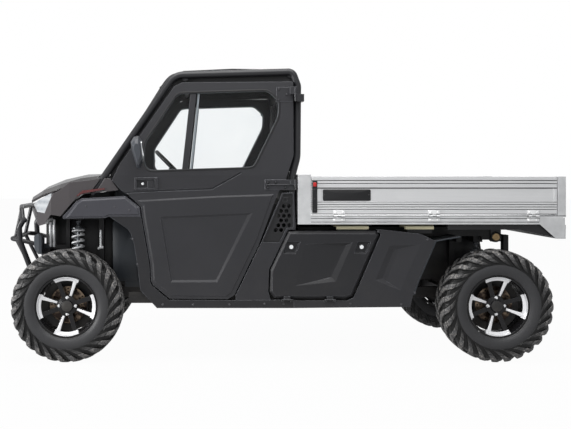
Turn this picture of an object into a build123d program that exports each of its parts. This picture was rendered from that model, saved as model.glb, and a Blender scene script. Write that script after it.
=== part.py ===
"""Side by side utility vehicle with a two-door cab and a tipping drop-side load bed.

Millimetres. +X is forward, +Y is the vehicle's left, +Z is up. The origin is on the ground, midway
between the front hoop and the rear of the bed, on the centre plane.
"""
from build123d import *
import os

os.makedirs("parts", exist_ok=True)

# ------------------------------------------------------------------ driving dimensions
front_axle_x, rear_axle_x = 1345.0, -1365.0     # wheel centres along the vehicle
half_track = 650.0                              # centre plane to the middle of a tyre
tyre_radius, tyre_width = 355.0, 250.0
rim_radius, rim_width = 195.0, 200.0
stub_reach = 24.0                               # the hub stubs end this far inside the tyres' middle plane
front_reach, rear_reach = 1788.0, -1788.0       # the ends of the vehicle
clear = 6.0                                     # gap round doors, lids and boards
seat_gap = 0.3                                  # gap between pieces that only rest together

skin_y, skin_t = 735.0, 45.0                    # door skin: outer face and whole thickness
belt_z, lean = 1180.0, 35.0 / 620.0             # above the belt the cab sides lean inwards
tube_r = 23.0                                   # cab frame tube
rail_y, rail_w, rail_z, rail_h = 300.0, 60.0, 360.0, 70.0      # main chassis rails
rail_front = 1522.0
hitch_x = -1774.0                               # mouth of the hitch receiver
upper_rail_y, upper_rail_w, upper_rail_z, upper_rail_h = 445.0, 50.0, 780.0, 60.0
floor_z, floor_t = rail_z + rail_h, 12.0
rear_wall_x, wall_t = -62.0, 20.0               # rear wall of the cab, back face
sill_bottom_z = 345.0

door_axis_x, door_axis_y = -94.0, 747.0         # door hinge pins, upright
door_hinges = ((1690.0, 46.0, 23.0), (1120.0, 32.0, 98.0))     # height, half height, front end of the leaf
hinge_r, hinge_gap = 8.0, 0.4
hood_axis_x, hood_axis_z = 1186.0, 1150.0       # hood hinge barrels, across the vehicle
kingpin_y = 600.0                               # front wheels steer about an upright axis
arm_back, arm_z = 80.0, 392.0                   # steering arm: reach behind the axle, height
steering_y = 330.0                              # driver on the left
steering_hub = (673.0, steering_y, 1215.0)

bin_in = 490.0                                  # inner face of the storage bins
bed_front_x, bed_half_w = -108.0, 755.0
bed_floor_z, bed_floor_t = 928.0, 26.0
bed_top_z, board_t = 1170.0, 25.0
bed_beam_z = upper_rail_z + upper_rail_h + 18.0
bed_pivot_x, bed_pivot_z = -1435.0, 776.0
pivot_ring_r, pivot_pin_r = 36.0, 16.0
board_axis_y, board_axis_z = 767.0, 926.0       # side board hinge pins
bed_back_x = -1768.0                            # rear edge of the bed floor
tail_axis_x = bed_back_x - 12.0                 # tailboard hinge pins, at the same height
hinge_xs, tail_hinge_ys = (-365.0, -960.0, bed_back_x + 188.0), (-500.0, 0.0, 500.0)

lift_foot_at, lift_eye_at = (-1150.0, 0.0, 775.0), (-460.0, 0.0, 858.0)
barrel_length, barrel_r, lift_rod_r = 440.0, 22.0, 11.0


# ------------------------------------------------------------------ small helpers
def box(x0, x1, y0, y1, z0, z1):
    """A block between two corners."""
    middle = Pos((x0 + x1) / 2, (y0 + y1) / 2, (z0 + z1) / 2)
    return middle * Box(abs(x1 - x0), abs(y1 - y0), abs(z1 - z0))


def side(points, y0, y1):
    """A side view outline of (x, z) points, carried across from y0 to y1."""
    face = make_face(Polyline([(x, y0, z) for x, z in points], close=True))
    return extrude(face, amount=y1 - y0, dir=(0, 1, 0))


def plan(points, z0, z1):
    """A top view outline of (x, y) points, carried up from z0 to z1."""
    face = make_face(Polyline([(x, y, z0) for x, y in points], close=True))
    return extrude(face, amount=z1 - z0, dir=(0, 0, 1))


def front(points, x0, x1):
    """A front view outline of (y, z) points, carried along from x0 to x1."""
    face = make_face(Polyline([(x0, y, z) for y, z in points], close=True))
    return extrude(face, amount=x1 - x0, dir=(1, 0, 0))


def inset(points, distance):
    """The same outline drawn smaller by one distance all round: each corner moves along its bisector."""
    area = sum(a[0] * b[1] - b[0] * a[1] for a, b in zip(points, points[1:] + points[:1]))
    turn = 1 if area > 0 else -1
    smaller = []
    for before, corner, after in zip(points[-1:] + points[:-1], points, points[1:] + points[:1]):
        come = (Vector(*corner) - Vector(*before)).normalized()
        leave = (Vector(*after) - Vector(*corner)).normalized()
        inward = Vector(-come.Y - leave.Y, come.X + leave.X) * turn
        reach = distance / (1 + come.dot(leave))
        smaller.append((corner[0] + inward.X * reach, corner[1] + inward.Y * reach))
    return smaller


def rod(start, end, radius):
    """A round bar between two points."""
    start, end = Vector(*start), Vector(*end)
    return Solid.make_cylinder(radius, (end - start).length, Plane(origin=start, z_dir=end - start))


def tube(points, radius, bend):
    """A bent round tube through some points, with the same bend at each corner."""
    path = FilletPolyline(*points, radius=bend) if len(points) > 2 else Line(*points)
    section = Plane(origin=path @ 0, z_dir=path % 0) * Circle(radius)
    return sweep(section, path=path)


def joined(shapes):
    """Shapes that meet or overlap, welded into one."""
    whole = shapes[0]
    return whole.fuse(*shapes[1:]) if len(shapes) > 1 else whole


def pair(shape):
    """The shape and its mirror image on the other side."""
    return Compound(children=list(shape.solids()) + list(mirror(shape, about=Plane.XZ).solids()))


def right(shape):
    """The same shape on the right of the vehicle."""
    return mirror(shape, about=Plane.XZ)


def lean_y(y, z):
    """Where an upright face at y stands at height z: above the belt the cab leans inwards."""
    return y - max(0.0, z - belt_z) * lean


def side_wall(outer, thick, z0, z1):
    """The slab that a cab side fills, seen from the front."""
    inner = outer - thick
    outline = [(inner, z0), (outer, z0), (outer, belt_z), (lean_y(outer, z1), z1),
               (lean_y(inner, z1), z1), (inner, belt_z)]
    return front(outline, -400, 1300)


def side_face(points, y):
    """The face inside a side view outline, standing at y."""
    return make_face(Polyline([(x, y, z) for x, z in points], close=True))


def pocket(rim, floor, y, depth):
    """What a pressed pocket takes out of a side panel whose outer face stands at y: its sloping walls run
    from the rim outline down to a floor outline with the same number of corners."""
    mouth = loft([side_face(rim, y), side_face(floor, y - depth)], ruled=True)
    return mouth + side(rim, y, y + 4)


def raised(points, y, height, slope):
    """A plateau standing on a side panel at y, its edge bevelled over the width of the slope."""
    return loft([side_face(points, y), side_face(inset(points, slope), y + height)], ruled=True)


nodes = {}


# ------------------------------------------------------------------ wheels
lug_count = 24
tyre_sections = (  # distance from the tyre's middle plane, radius of the facetted carcass
    (-108, 214), (-125, 262), (-120, 312), (-98, 336), (98, 336), (120, 312), (125, 262), (108, 214),
)


def make_tyre():
    """Facetted carcass with two staggered rows of slanted lugs, on the Y axis, rolling forwards."""
    rings = [Pos(0, 0, y) * RegularPolygon(r, lug_count) for y, r in tyre_sections]
    carcass = loft(rings, ruled=True)
    bore = extrude(RegularPolygon(rim_radius + 2.5, lug_count), amount=tyre_width, both=True)
    carcass -= bore
    # one lug: its outline from above, cut to its outline from the side
    above = [(5, -14), (5, 16), (58, 34), (127, 48), (127, 14), (62, 4)]
    across = [(5, 325), (5, tyre_radius), (92, tyre_radius - 2), (119, 334), (127, 290), (116, 290), (96, 325)]
    top = extrude(make_face(Polyline([(s, 280, y) for y, s in above], close=True)), 90, dir=(0, 1, 0))
    edge = extrude(make_face(Polyline([(-60, r, y) for y, r in across], close=True)), 120, dir=(1, 0, 0))
    lug = top & edge
    other = mirror(lug, about=Plane.XY)
    step = 360.0 / lug_count
    lugs = [Rot(0, 0, i * step) * lug for i in range(lug_count)]
    lugs += [Rot(0, 0, (i + 0.5) * step) * other for i in range(lug_count)]
    return Rot(90, 0, 0) * carcass.fuse(*[s for g in lugs for s in g.solids()])


def make_rim():
    """Cast rim: stepped barrel, dished centre and four pairs of spokes; +Y is the outer face."""
    half = rim_width / 2
    barrel = [(181, -half), (rim_radius, -half), (rim_radius, -half + 9), (187, -half + 14), (187, half - 14),
              (rim_radius, half - 9), (rim_radius, half), (183, half), (177, half - 14), (177, -half + 12)]
    ring = revolve(make_face(Polyline([(r, y, 0) for r, y in barrel], close=True)), axis=Axis.Y)
    hub = revolve(make_face(Polyline([(0, 20, 0), (62, 20, 0), (62, 52, 0), (40, 62, 0), (36, 74, 0),
                                      (0, 76, 0)],
                                     close=True)), axis=Axis.Y)
    spokes = []
    for pair_angle in (0, 90, 180, 270):
        for skew in (-19, 19):
            # a spoke runs from the hub to the rim, leaning away from its partner
            foot = [(40, -16), (120, -13), (180, -15), (180, 15), (120, 13), (40, 16)]
            flat = extrude(make_face(Polyline([(a, 0, b) for a, b in foot], close=True)), 90, dir=(0, 1, 0))
            arch = extrude(make_face(Polyline([(36, 44, -40), (80, 60, -40), (180, 82, -40), (180, 56, -40),
                                               (110, 36, -40), (36, 24, -40)], close=True)), 80, dir=(0, 0, 1))
            spokes.append(Rot(0, pair_angle + skew, 0) * (flat & arch))
    return ring.fuse(hub, *[s for g in spokes for s in g.solids()])


def make_disc():
    """Drilled brake disc on its bell, behind the spokes."""
    disc = Rot(90, 0, 0) * (Pos(0, 0, 0) * Cylinder(118, 6) - Cylinder(50, 8))
    holes = [Rot(0, a * 30, 0) * Pos(r, 0, 0) * Rot(90, 0, 0) * Cylinder(5, 10)
             for a in range(12) for r in (84, 104)]
    disc = disc.cut(*[s for h in holes for s in h.solids()])
    bell = Rot(90, 0, 0) * (Pos(0, 0, -10 - seat_gap / 2) * Cylinder(52, 20 - seat_gap))
    boss = Rot(90, 0, 0) * (Pos(0, 0, stub_reach / 2) * Cylinder(36, stub_reach))       # meets the stub
    return disc.fuse(bell, boss)


tyre, rim, disc = make_tyre(), make_rim(), make_disc()
wheels = (("front_left", front_axle_x, 1), ("front_right", front_axle_x, -1),
          ("rear_left", rear_axle_x, 1), ("rear_right", rear_axle_x, -1))
for name, axle_x, hand in wheels:
    place = Pos(axle_x, half_track, tyre_radius)
    parts = {"tyre": place * tyre, "rim": Compound(children=[*(place * rim).solids(),
                                                             *(place * disc).solids()])}
    for what, shape in parts.items():
        nodes[f"{what}_{name}"] = shape if hand > 0 else right(shape)

# ------------------------------------------------------------------ front suspension and steering
axle_z = tyre_radius
pivot_in, pivot_spread = 338.0, 138.0   # inner ends of the arms and half their spacing


def wishbone(axle_x, outer_y, outer_z, inner_z, radius, braced):
    """A welded A-shaped arm: two legs from its inner bushes to its outer joint."""
    outer = (axle_x, outer_y, outer_z)
    legs = [rod((axle_x + s * pivot_spread, pivot_in, inner_z), outer, radius) for s in (-1, 1)]
    bushes = [rod((axle_x + s * pivot_spread - 26, pivot_in, inner_z),
                  (axle_x + s * pivot_spread + 26, pivot_in, inner_z), 19) for s in (-1, 1)]
    brace = rod((axle_x - 0.55 * pivot_spread, (outer_y + pivot_in) / 2 - 15, (outer_z + inner_z) / 2),
                (axle_x + 0.55 * pivot_spread, (outer_y + pivot_in) / 2 - 15, (outer_z + inner_z) / 2),
                radius * 0.8)
    return joined([*legs, *bushes, brace] if braced else [*legs, *bushes])


lower_z, upper_z = axle_z - 85, axle_z + 95
front_lower = wishbone(front_axle_x, kingpin_y - 30, lower_z, 330.0, 15, True)
front_upper = wishbone(front_axle_x, kingpin_y - 30, upper_z, 492.0, 12, False)
nodes["front_arms"] = pair(Compound(children=[front_lower, front_upper]))

# knuckle: kingpin post, stub for the hub, caliper and steering arm
post = rod((front_axle_x, kingpin_y, lower_z - 18), (front_axle_x, kingpin_y, upper_z + 18), 21)
stub = rod((front_axle_x, kingpin_y, axle_z), (front_axle_x, half_track - stub_reach - seat_gap, axle_z), 30)
caliper = box(front_axle_x - 125, front_axle_x - 62, half_track - 28, half_track - 4, axle_z - 45, axle_z + 45)
web = box(front_axle_x - 100, front_axle_x, kingpin_y - 12, half_track - 32, axle_z - 14, axle_z + 14)
bracket = box(front_axle_x - 100, front_axle_x - 66, half_track - 40, half_track - 26, axle_z - 30, axle_z + 28)
steer_arm = box(front_axle_x - arm_back - 16, front_axle_x, kingpin_y - 9, kingpin_y + 9, arm_z - 22, arm_z - 6)
knuckle = joined([post, stub, web, bracket, caliper, steer_arm])
nodes["knuckle_left"] = knuckle
nodes["knuckle_right"] = right(knuckle)


# rack across the vehicle with a tie rod each side; its ends sit just above the steering arms
rack_x = front_axle_x - arm_back
rack_z, rack_r, rack_half = 455.0, 14.0, 335.0
rack = rod((rack_x, -rack_half, rack_z), (rack_x, rack_half, rack_z), rack_r)
tie_eye_y = kingpin_y
ties = [rod((rack_x, s * (rack_half - 2), rack_z), (rack_x, s * (tie_eye_y - 6), arm_z + 10),
            8) for s in (-1, 1)]
eyes = [rod((rack_x, s * tie_eye_y, arm_z - 6 + seat_gap), (rack_x, s * tie_eye_y, arm_z + 20),
            13) for s in (-1, 1)]
nodes["steering_rack"] = joined([rack, *ties, *eyes])

# ------------------------------------------------------------------ rear suspension, shafts and dampers
rear_lower = wishbone(rear_axle_x, kingpin_y - 30, lower_z, 330.0, 15, True)
rear_upper = wishbone(rear_axle_x, kingpin_y - 30, upper_z, 492.0, 12, False)
rear_post = box(rear_axle_x - 24, rear_axle_x + 24, kingpin_y - 34, kingpin_y + 10, lower_z - 22, upper_z + 22)
rear_stub = rod((rear_axle_x, kingpin_y, axle_z), (rear_axle_x, half_track - stub_reach - seat_gap, axle_z), 30)
rear_bar = box(rear_axle_x + 20, rear_axle_x + 100, kingpin_y - 12, half_track - 26, axle_z - 14, axle_z + 14)
rear_caliper = box(rear_axle_x + 62, rear_axle_x + 125, half_track - 28, half_track - 4, axle_z - 45,
                   axle_z + 45)
nodes["rear_suspension"] = pair(joined([rear_lower, rear_upper, rear_post, rear_stub, rear_bar, rear_caliper]))

diff_z, diff_y = 322.0, 105.0


def drive_line(axle_x, outer_y, back_x, front_x):
    """Final drive housing with a shaft and two bellows to each wheel."""
    shapes = [box(axle_x - 75, axle_x + 75, -diff_y, diff_y, diff_z - 55, diff_z + 60)]
    # held between members
    shapes.append(box(back_x + seat_gap, front_x - seat_gap, -50, 50, diff_z + 48, diff_z + 74))
    for s in (-1, 1):
        inner, outer = (axle_x, s * (diff_y - 1), diff_z), (axle_x, s * outer_y, axle_z - 4)
        shapes.append(rod(inner, outer, 13))
        shapes.append(rod(inner, (axle_x, s * (diff_y + 75), diff_z + 5), 36))
    return joined(shapes)


nodes["drive_line"] = Compound(children=[*drive_line(front_axle_x, kingpin_y - 24, 1205, 1455).solids(),
                                         *drive_line(rear_axle_x, kingpin_y - 35.2, -1515, -1175).solids()])

damper_back = 30.0                               # dampers stand this far behind the front axle
damper_foot_y, damper_foot_z = 439.0, 327.0
damper_head_y, front_head_z, rear_head_z = 375.0, 884.0, 738.0


def damper(x, head_z):
    """Oil damper in its coil spring, an eye at each end."""
    foot, head = Vector(x, damper_foot_y, damper_foot_z), Vector(x, damper_head_y, head_z - 13)
    length = (head - foot).length
    way = (head - foot).normalized()
    coils, seat = 8, 40.0
    sprung = length * 0.62 - seat
    pitch = sprung / coils
    runs = [(6, length - 6, 10), (seat, seat + 6, 32), (seat + sprung, seat + sprung + 8, 32),
            (seat, length - 30, 24)]
    runs += [(seat + (i + 0.3) * pitch, seat + (i + 0.75) * pitch, 32) for i in range(coils)]
    shapes = [rod(tuple(foot + way * a), tuple(foot + way * b), r) for a, b, r in runs]
    shapes += [rod((x - 15, p.Y, p.Z), (x + 15, p.Y, p.Z), 13) for p in (foot, head)]
    return joined(shapes)


dampers = [damper(front_axle_x - damper_back, front_head_z), damper(rear_axle_x + damper_back, rear_head_z)]
nodes["dampers"] = pair(Compound(children=[s for d in dampers for s in d.solids()]))

# ------------------------------------------------------------------ chassis
rail_top = rail_z + rail_h
half_w = rail_w / 2
chassis = [box(-1560, rail_front, s * rail_y - half_w, s * rail_y + half_w, rail_z, rail_top) for s in (-1, 1)]
towers, subframe = [], []                                      # welded on top of the rails, front and rear
for x in (-1540, -1150, -120, 520, 960, 1180, 1480):          # cross members
    chassis.append(box(x - 25, x + 25, -rail_y, rail_y, rail_z + 5, rail_top - 5))
for x in (-28, 640, 820):                                      # outriggers under the cab floor
    for s in (-1, 1):
        chassis.append(box(x - 22, x + 22, s * rail_y, s * 680, rail_top - 38, rail_top))
        if x < 800:                                                # tabs that carry the sills
            chassis.append(box(x - 22, x + 22, s * 660, s * (skin_y - 35 - seat_gap), rail_top - 50,
                               rail_top - 32))
for s in (-1, 1):
    for axle in (front_axle_x, rear_axle_x):
        for e in (-1, 1):
            pivot = axle + e * pivot_spread
            for k in (-1, 1):                                  # ears each side of the lower bushes
                near, far = pivot + k * (26 + seat_gap), pivot + k * 34
                chassis.append(box(near, far, s * 296, s * 349, 308, rail_z + 10))
            near, far = pivot + e * (26 + seat_gap), pivot + e * 60
            top = {(-1, 1): 905, (1, 1): 715}.get((e, 1 if axle > 0 else -1), upper_rail_z)
            (towers if axle > 0 else subframe).append(box(near, far, s * 290, s * 350, rail_top, top))
    # upper rails that the bed rests on, their posts and outriggers
    u0, u1 = upper_rail_y - upper_rail_w / 2, upper_rail_y + upper_rail_w / 2
    subframe.append(box(bed_pivot_x, -140, s * u0, s * u1, upper_rail_z, upper_rail_z + upper_rail_h))
    subframe.append(box(bed_pivot_x, bed_pivot_x + 90, s * u0, s * u1, bed_pivot_z - 20, upper_rail_z + 20))
    subframe.append(rod((bed_pivot_x, s * u0, bed_pivot_z), (bed_pivot_x, s * u1, bed_pivot_z), pivot_ring_r))
    for x in (-190, -860, rear_axle_x + 168):
        subframe.append(box(x - 17, x + 17, s * 290, s * u1, upper_rail_z - 40, upper_rail_z))
    for x in (-190, -860):
        subframe.append(box(x - 17, x + 17, s * 290, s * 330, rail_top, upper_rail_z - 20))
    # holds the bin
    subframe.append(box(-207, -173, s * u1, s * (bin_in - seat_gap), upper_rail_z - 40, upper_rail_z))
    # front towers: top rails and damper brackets
    towers.append(box(1160, 1400, s * 290, s * 350, 885, 915))
    towers.append(box(1376, 1400, s * 290, s * 350, 690, 900))
    towers.append(box(1376, 1540, s * 290, s * 350, 690, 715))
    towers.append(box(1506, 1516, s * 306, s * 346, 710, 861))                              # carries the nose
    x = front_axle_x - damper_back
    towers.append(box(x - 30, x + 30, s * 340, s * 400, front_head_z + seat_gap, 915))
    x = rear_axle_x + damper_back
    subframe.append(box(x - 30, x + 30, s * 345, s * (u0 + 5), rear_head_z + seat_gap, upper_rail_z))
    subframe.append(box(x - 30, x + 30, s * 290, s * 346, upper_rail_z - 40, upper_rail_z))
for x in (1178, 1384):
    towers.append(box(x - 15, x + 15, -300, 300, 885, 915))
towers.append(box(1516, 1540, -300, 300, 690, 715))
for x in (rear_axle_x - 168, rear_axle_x + 168, -190, -860):
    subframe.append(box(x - 17, x + 17, -300, 300, upper_rail_z - 40, upper_rail_z))
for s in (-1, 1):                                              # lugs each side of the lift's foot
    subframe.append(box(rear_axle_x + 160, lift_foot_at[0] + 16, s * 22.4, s * 32, upper_rail_z - 40,
                        lift_foot_at[2] + 18))
chassis.append(box(hitch_x, -1555, -35, 35, rail_z, rail_top))              # hitch receiver
chassis.append(box(-1560, -1530, -300, 300, rail_z, rail_top))
receiver = box(hitch_x - 1, -1570, -25, 25, rail_z + 10, rail_top - 10)
pin_x, pin_z, pin_r = hitch_x + 29, (rail_z + rail_top) / 2, 8.0
frame = joined(chassis) - receiver - rod((pin_x, -60, pin_z), (pin_x, 60, pin_z), pin_r)
# the rack slides in two clamps, bolted to the front of the cross member behind it
clamp_back = 1180 + 25 + seat_gap
rack_bore = rod((rack_x, -200, rack_z), (rack_x, 200, rack_z), rack_r + 0.06)
clamps = [box(clamp_back, rack_x + 20, s * 140, s * 190, rail_top - 30,
              rack_z + 22) - rack_bore for s in (-1, 1)]
uprights = joined(subframe)
for s in (-1, 1):                                              # bores for the bed's pivot pins
    uprights -= rod((bed_pivot_x, s * 400, bed_pivot_z), (bed_pivot_x, s * 490, bed_pivot_z),
                    pivot_pin_r + 0.05)
welded = [frame, joined(towers), uprights, *clamps]
nodes["chassis_frame"] = Compound(children=[s for part in welded for s in part.solids()])

engine = [box(-820, -220, -225, 225, rail_top + 10, 735)]
# mounts on the rails
engine += [box(x, x + 60, -318, 318, rail_top + seat_gap, rail_top + 14) for x in (-760, -340)]
nodes["engine_block"] = joined(engine)


# ------------------------------------------------------------------ cab: floor tub, rear wall, frame, roof
arch_back = [(881, floor_z + floor_t), (895, 560), (922, 731), (942, 806), (966, 842), (1078, 912)]
firewall_x, cowl_z = 1010.0, 1150.0
liner_t, cab_half = 8.0, 676.0
tunnel_y = pivot_in - 8


def strip(points, thick):
    """A bent sheet in side view: a line of points and the same line moved by its thickness."""
    back = [(x - thick, z + thick * 0.3) for x, z in reversed(points)]
    return [*points, *back]


floor_plan = [(rear_wall_x + wall_t + seat_gap, -cab_half), (873, -cab_half), (873, -tunnel_y),
              (firewall_x, -tunnel_y), (firewall_x, tunnel_y), (873, tunnel_y), (873, cab_half),
              (rear_wall_x + wall_t + seat_gap, cab_half)]
tub = [plan(floor_plan, floor_z, floor_z + floor_t)]
tub.append(box(firewall_x - liner_t, firewall_x, -tunnel_y, tunnel_y, floor_z, 900))
tub.append(box(firewall_x + 40, firewall_x + 40 + liner_t, -550, 550, 905, cowl_z - 12))
tub.append(box(firewall_x - liner_t, firewall_x + 48, -tunnel_y, tunnel_y, 896, 912))
cowl_line = [(1050, 1157), (1058, 1158), (1112, 1163), (1140, 1149), (1166, 1140)]
tub.append(side([*cowl_line, *[(x, z - 7) for x, z in reversed(cowl_line)]], -540, 540))
tub.append(box(firewall_x + 40, firewall_x + 40 + liner_t, -540, 540, cowl_z - 20, cowl_z + 3))
for s in (-1, 1):                                              # fixed barrels of the hood's hinges
    for y0, y1 in ((284, 300 - hinge_gap), (340 + hinge_gap, 356)):
        tub.append(rod((hood_axis_x, s * y0, hood_axis_z), (hood_axis_x, s * y1, hood_axis_z), 8))
        tub.append(box(1158, hood_axis_x + 4, s * y0, s * y1, hood_axis_z - 16, hood_axis_z - 6))
for s in (-1, 1):
    tub.append(side(strip(arch_back, liner_t), s * (tunnel_y - liner_t), s * cab_half))
    tub.append(side([(873, floor_z), (887, 560), (914, 731), (934, 810), (960, 850), (1056, 912),
                     (firewall_x, 912),
                     (firewall_x, floor_z)], s * (tunnel_y - liner_t), s * tunnel_y))
seat_riser_front, seat_riser_back, seat_riser_z = 560.0, 20.0, 640.0
riser_half = 610.0
riser = box(seat_riser_back, seat_riser_front, -riser_half, riser_half, floor_z, seat_riser_z)
riser -= box(seat_riser_back + 10, seat_riser_front - 10, -riser_half + 10, riser_half - 10, floor_z - 1,
             seat_riser_z - 10)
tub.append(riser)
nodes["cab_tub"] = joined(tub)

wall_low, wall_high, wall_top_z = 660.0, 626.0, 1798.0
wall = front([(-wall_low, floor_z), (wall_low, floor_z), (wall_low, belt_z), (wall_high, wall_top_z),
              (-wall_high, wall_top_z), (-wall_low, belt_z)], rear_wall_x, rear_wall_x + wall_t)
rear_window = [(-540, 1240), (540, 1240), (520, 1710), (-520, 1710)]
wall -= front(rear_window, rear_wall_x - 5, rear_wall_x + wall_t + 5)
nodes["rear_wall"] = wall
nodes["rear_glass"] = front(inset(rear_window, seat_gap), rear_wall_x + 7, rear_wall_x + 12)

# cab frame: a bent tube loop each side, cross tubes, and the B post feet on the outriggers
pillar_foot, pillar_top = (1114.0, 1168.0), (669.0, 1817.0)      # axis of the A post
pillar_slope = (pillar_top[0] - pillar_foot[0]) / (pillar_top[1] - pillar_foot[1])
pillar_root_z = 1060.0
roof_back, rear_bend, rear_mid = (-84.0, 1839.0), (-116.0, 1750.0), (-109.0, 1295.0)
rear_low, rear_foot = (-76.0, 1172.0), (-78.0, 858.0)
loop_y = skin_y - skin_t


def pillar_x(z):
    """Where the axis of the A post stands at height z."""
    return pillar_foot[0] + (z - pillar_foot[1]) * pillar_slope


def pillar_hole():
    """The clearance that panels leave round the foot of the left A post."""
    low, high = pillar_root_z - 40, pillar_foot[1] + 60
    return rod((pillar_x(low), loop_y, low), (pillar_x(high), lean_y(loop_y, high), high), tube_r + 10)


loops = []
for s in (-1, 1):
    line = [(x, s * lean_y(loop_y, z), z) for x, z in
            ((pillar_x(pillar_root_z), pillar_root_z), pillar_foot, pillar_top, roof_back, rear_bend,
             rear_mid, rear_low, rear_foot)]
    bends = [60, 110, 40, 60, 200, 120]
    path = FilletPolyline(*line, radius=bends)
    section = Plane(origin=path @ 0, z_dir=path % 0) * Circle(tube_r)
    loops.append(sweep(section, path=path))
roof_y = lean_y(loop_y, 1815)
cross = [rod((600, -roof_y, 1798), (600, roof_y, 1798), 19), rod((-70, -roof_y, 1822), (-70, roof_y, 1822), 20),
         rod((pillar_x(1116), -loop_y, 1116), (pillar_x(1116), loop_y, 1116), 20)]
foot_beam_z = 848.0
posts = [box(-100, rear_wall_x - seat_gap, s * 290, s * 330, rail_top, foot_beam_z + 4) for s in (-1, 1)]
posts.append(box(-100, rear_wall_x - seat_gap, -706, 706, foot_beam_z, foot_beam_z + 26))
pillar_parts = []
for s in (-1, 1):                                              # lower halves of the door hinges
    for (z, half, reach), back in zip(door_hinges, (-147.0, -100.0)):
        pillar_parts.append(rod((door_axis_x, s * door_axis_y, z - half),
                                (door_axis_x, s * door_axis_y, z - hinge_gap),
                                hinge_r))
        inner = lean_y(loop_y, z) - 5
        pillar_parts.append(box(back, door_axis_x, s * inner, s * (door_axis_y + 3), z - half, z - hinge_gap))
nodes["cab_frame"] = joined([*loops, *cross, *posts, *pillar_parts])

roof_half = lean_y(loop_y, roof_back[1]) - tube_r - seat_gap
roof = side([(-96, 1843), (-92, 1856), (300, 1862), (612, 1848), (700, 1800), (766, 1742), (757, 1734),
             (690, 1784), (606, 1822), (300, 1838)], -roof_half, roof_half)
nodes["roof_panel"] = roof

glass_t = 6.0
pillar_way = Vector(pillar_top[0] - pillar_foot[0], 0, pillar_top[1] - pillar_foot[1]).normalized()
pillar_across = Vector(pillar_way.Z, 0, -pillar_way.X) * (glass_t / 2)
screen_low, screen_high = Vector(pillar_foot[0], 0, pillar_foot[1]), Vector(pillar_top[0], 0, pillar_top[1])
screen_low, screen_high = screen_low + pillar_way * 20, screen_high - pillar_way * 90
corners = [screen_low - pillar_across, screen_high - pillar_across, screen_high + pillar_across,
           screen_low + pillar_across]
screen_foot_y = loop_y - tube_r - seat_gap - 0.5
screen_head_y = screen_foot_y - (loop_y - lean_y(loop_y, pillar_top[1]))
screen_edge = [(-screen_foot_y, pillar_foot[1]), (screen_foot_y, pillar_foot[1]),
               (screen_head_y, pillar_top[1]), (-screen_head_y, pillar_top[1])]
nodes["windscreen"] = side([(c.X, c.Z) for c in corners], -700, 700) & front(screen_edge, 500, 1300)

# ------------------------------------------------------------------ doors
door_outline = [(-83, 1772), (-83, 1304), (-34, 1156), (20, 1062), (130, 760), (290, 428), (331, 402),
                (697, 405),
                (802, 493), (812, 514), (817, 618), (869, 920), (877, 983), (954, 1055), (1006, 1087),
                (1060, 1150), (1010, 1250), (667, 1744), (614, 1767)]
window_outline = [(4, 1652), (7, 1549), (161, 1236), (191, 1226), (831, 1206), (861, 1244), (861, 1380),
                  (655, 1692),
                  (620, 1702), (77, 1718)]
door = side(door_outline, skin_y - 120, skin_y + 20) & side_wall(skin_y, skin_t, 380, 1800)
window = side(window_outline, skin_y - 140, skin_y + 30)
divider = side([(529, 1700), (567, 1700), (620, 1208), (582, 1208)], skin_y - 120, skin_y + 20)
door = (door - window) + (divider & side_wall(skin_y - 6, skin_t - 16, 1190, 1705))
pane = side(inset(window_outline, seat_gap), skin_y - 120, skin_y + 20) & side_wall(skin_y - 22, 5, 1190, 1800)
pane = pane - divider
for z, half, reach in door_hinges:
    low = lean_y(skin_y, z - half)
    high = lean_y(skin_y, z + half)
    leaf = box(door_axis_x + hinge_r + 3, reach, high - 6, low + 4, z - half, z + half)
    barrel = rod((door_axis_x, door_axis_y, z + hinge_gap), (door_axis_x, door_axis_y, z + half), hinge_r)
    link = box(door_axis_x, door_axis_x + 34, high - 6, door_axis_y + 3, z + hinge_gap, z + half)
    door = door + leaf + barrel + link
# the door's lower skin stands proud of the belt, with a pressed panel in it; a groove runs under the belt
plateau = [(40, 1063), (146, 768), (303, 440), (336, 413), (692, 416), (794, 501), (802, 518), (807, 620),
           (859, 922), (867, 986), (906, 1024), (390, 1052)]
door = door + raised(plateau, skin_y - 1, 6, 11)
panel_rim = [(758, 920), (174, 945), (397, 508), (689, 508)]
panel_floor = [(742, 906), (206, 929), (405, 522), (681, 520)]
door = door - pocket(panel_rim, panel_floor, skin_y + 5, 7)
crease = [(1016, 1064), (771, 1077), (429, 1090), (246, 1192), (252, 1201), (433, 1100), (771, 1087),
          (1004, 1075)]
door = door - side(crease, skin_y - 7, skin_y + 5)
# handle: a raised frame round a sunk pull and the key lock
door = door + box(773, 915, skin_y - 1, skin_y + 8, 1090, 1166) - box(790, 903, skin_y - 9, skin_y + 9, 1100,
                                                                      1152)
door = door + box(796, 836, skin_y - 10, skin_y + 3, 1103, 1149)
door = door + rod((866, skin_y - 10, 1126), (866, skin_y + 4, 1126), 9)
mirror_arm_z = 1330.0
mirror_arm_y = lean_y(skin_y, mirror_arm_z) + 0.9
head = box(884, 930, 772, 905, 1216, 1422)
head = fillet(head.edges(), 12)
mirror_head = head + rod((906, mirror_arm_y, mirror_arm_z), (906, 780, mirror_arm_z), 11)
nodes["mirror_left"] = mirror_head
nodes["mirror_right"] = right(mirror_head)
nodes["door_left"] = door
nodes["door_right"] = right(door)
nodes["door_glass_left"] = pane
nodes["door_glass_right"] = right(pane)


# ------------------------------------------------------------------ nose, hood, fenders and lamps
hood_t = 16.0
hood_stations = (  # distance along, edge height, shoulder height, crown height, half width
    (1172, 1150, 1176, 1190, 520), (1290, 1128, 1160, 1186, 540), (1420, 1092, 1122, 1156, 540),
    (1540, 1052, 1080, 1108, 480), (1626, 1012, 1034, 1052, 380),
)


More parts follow.
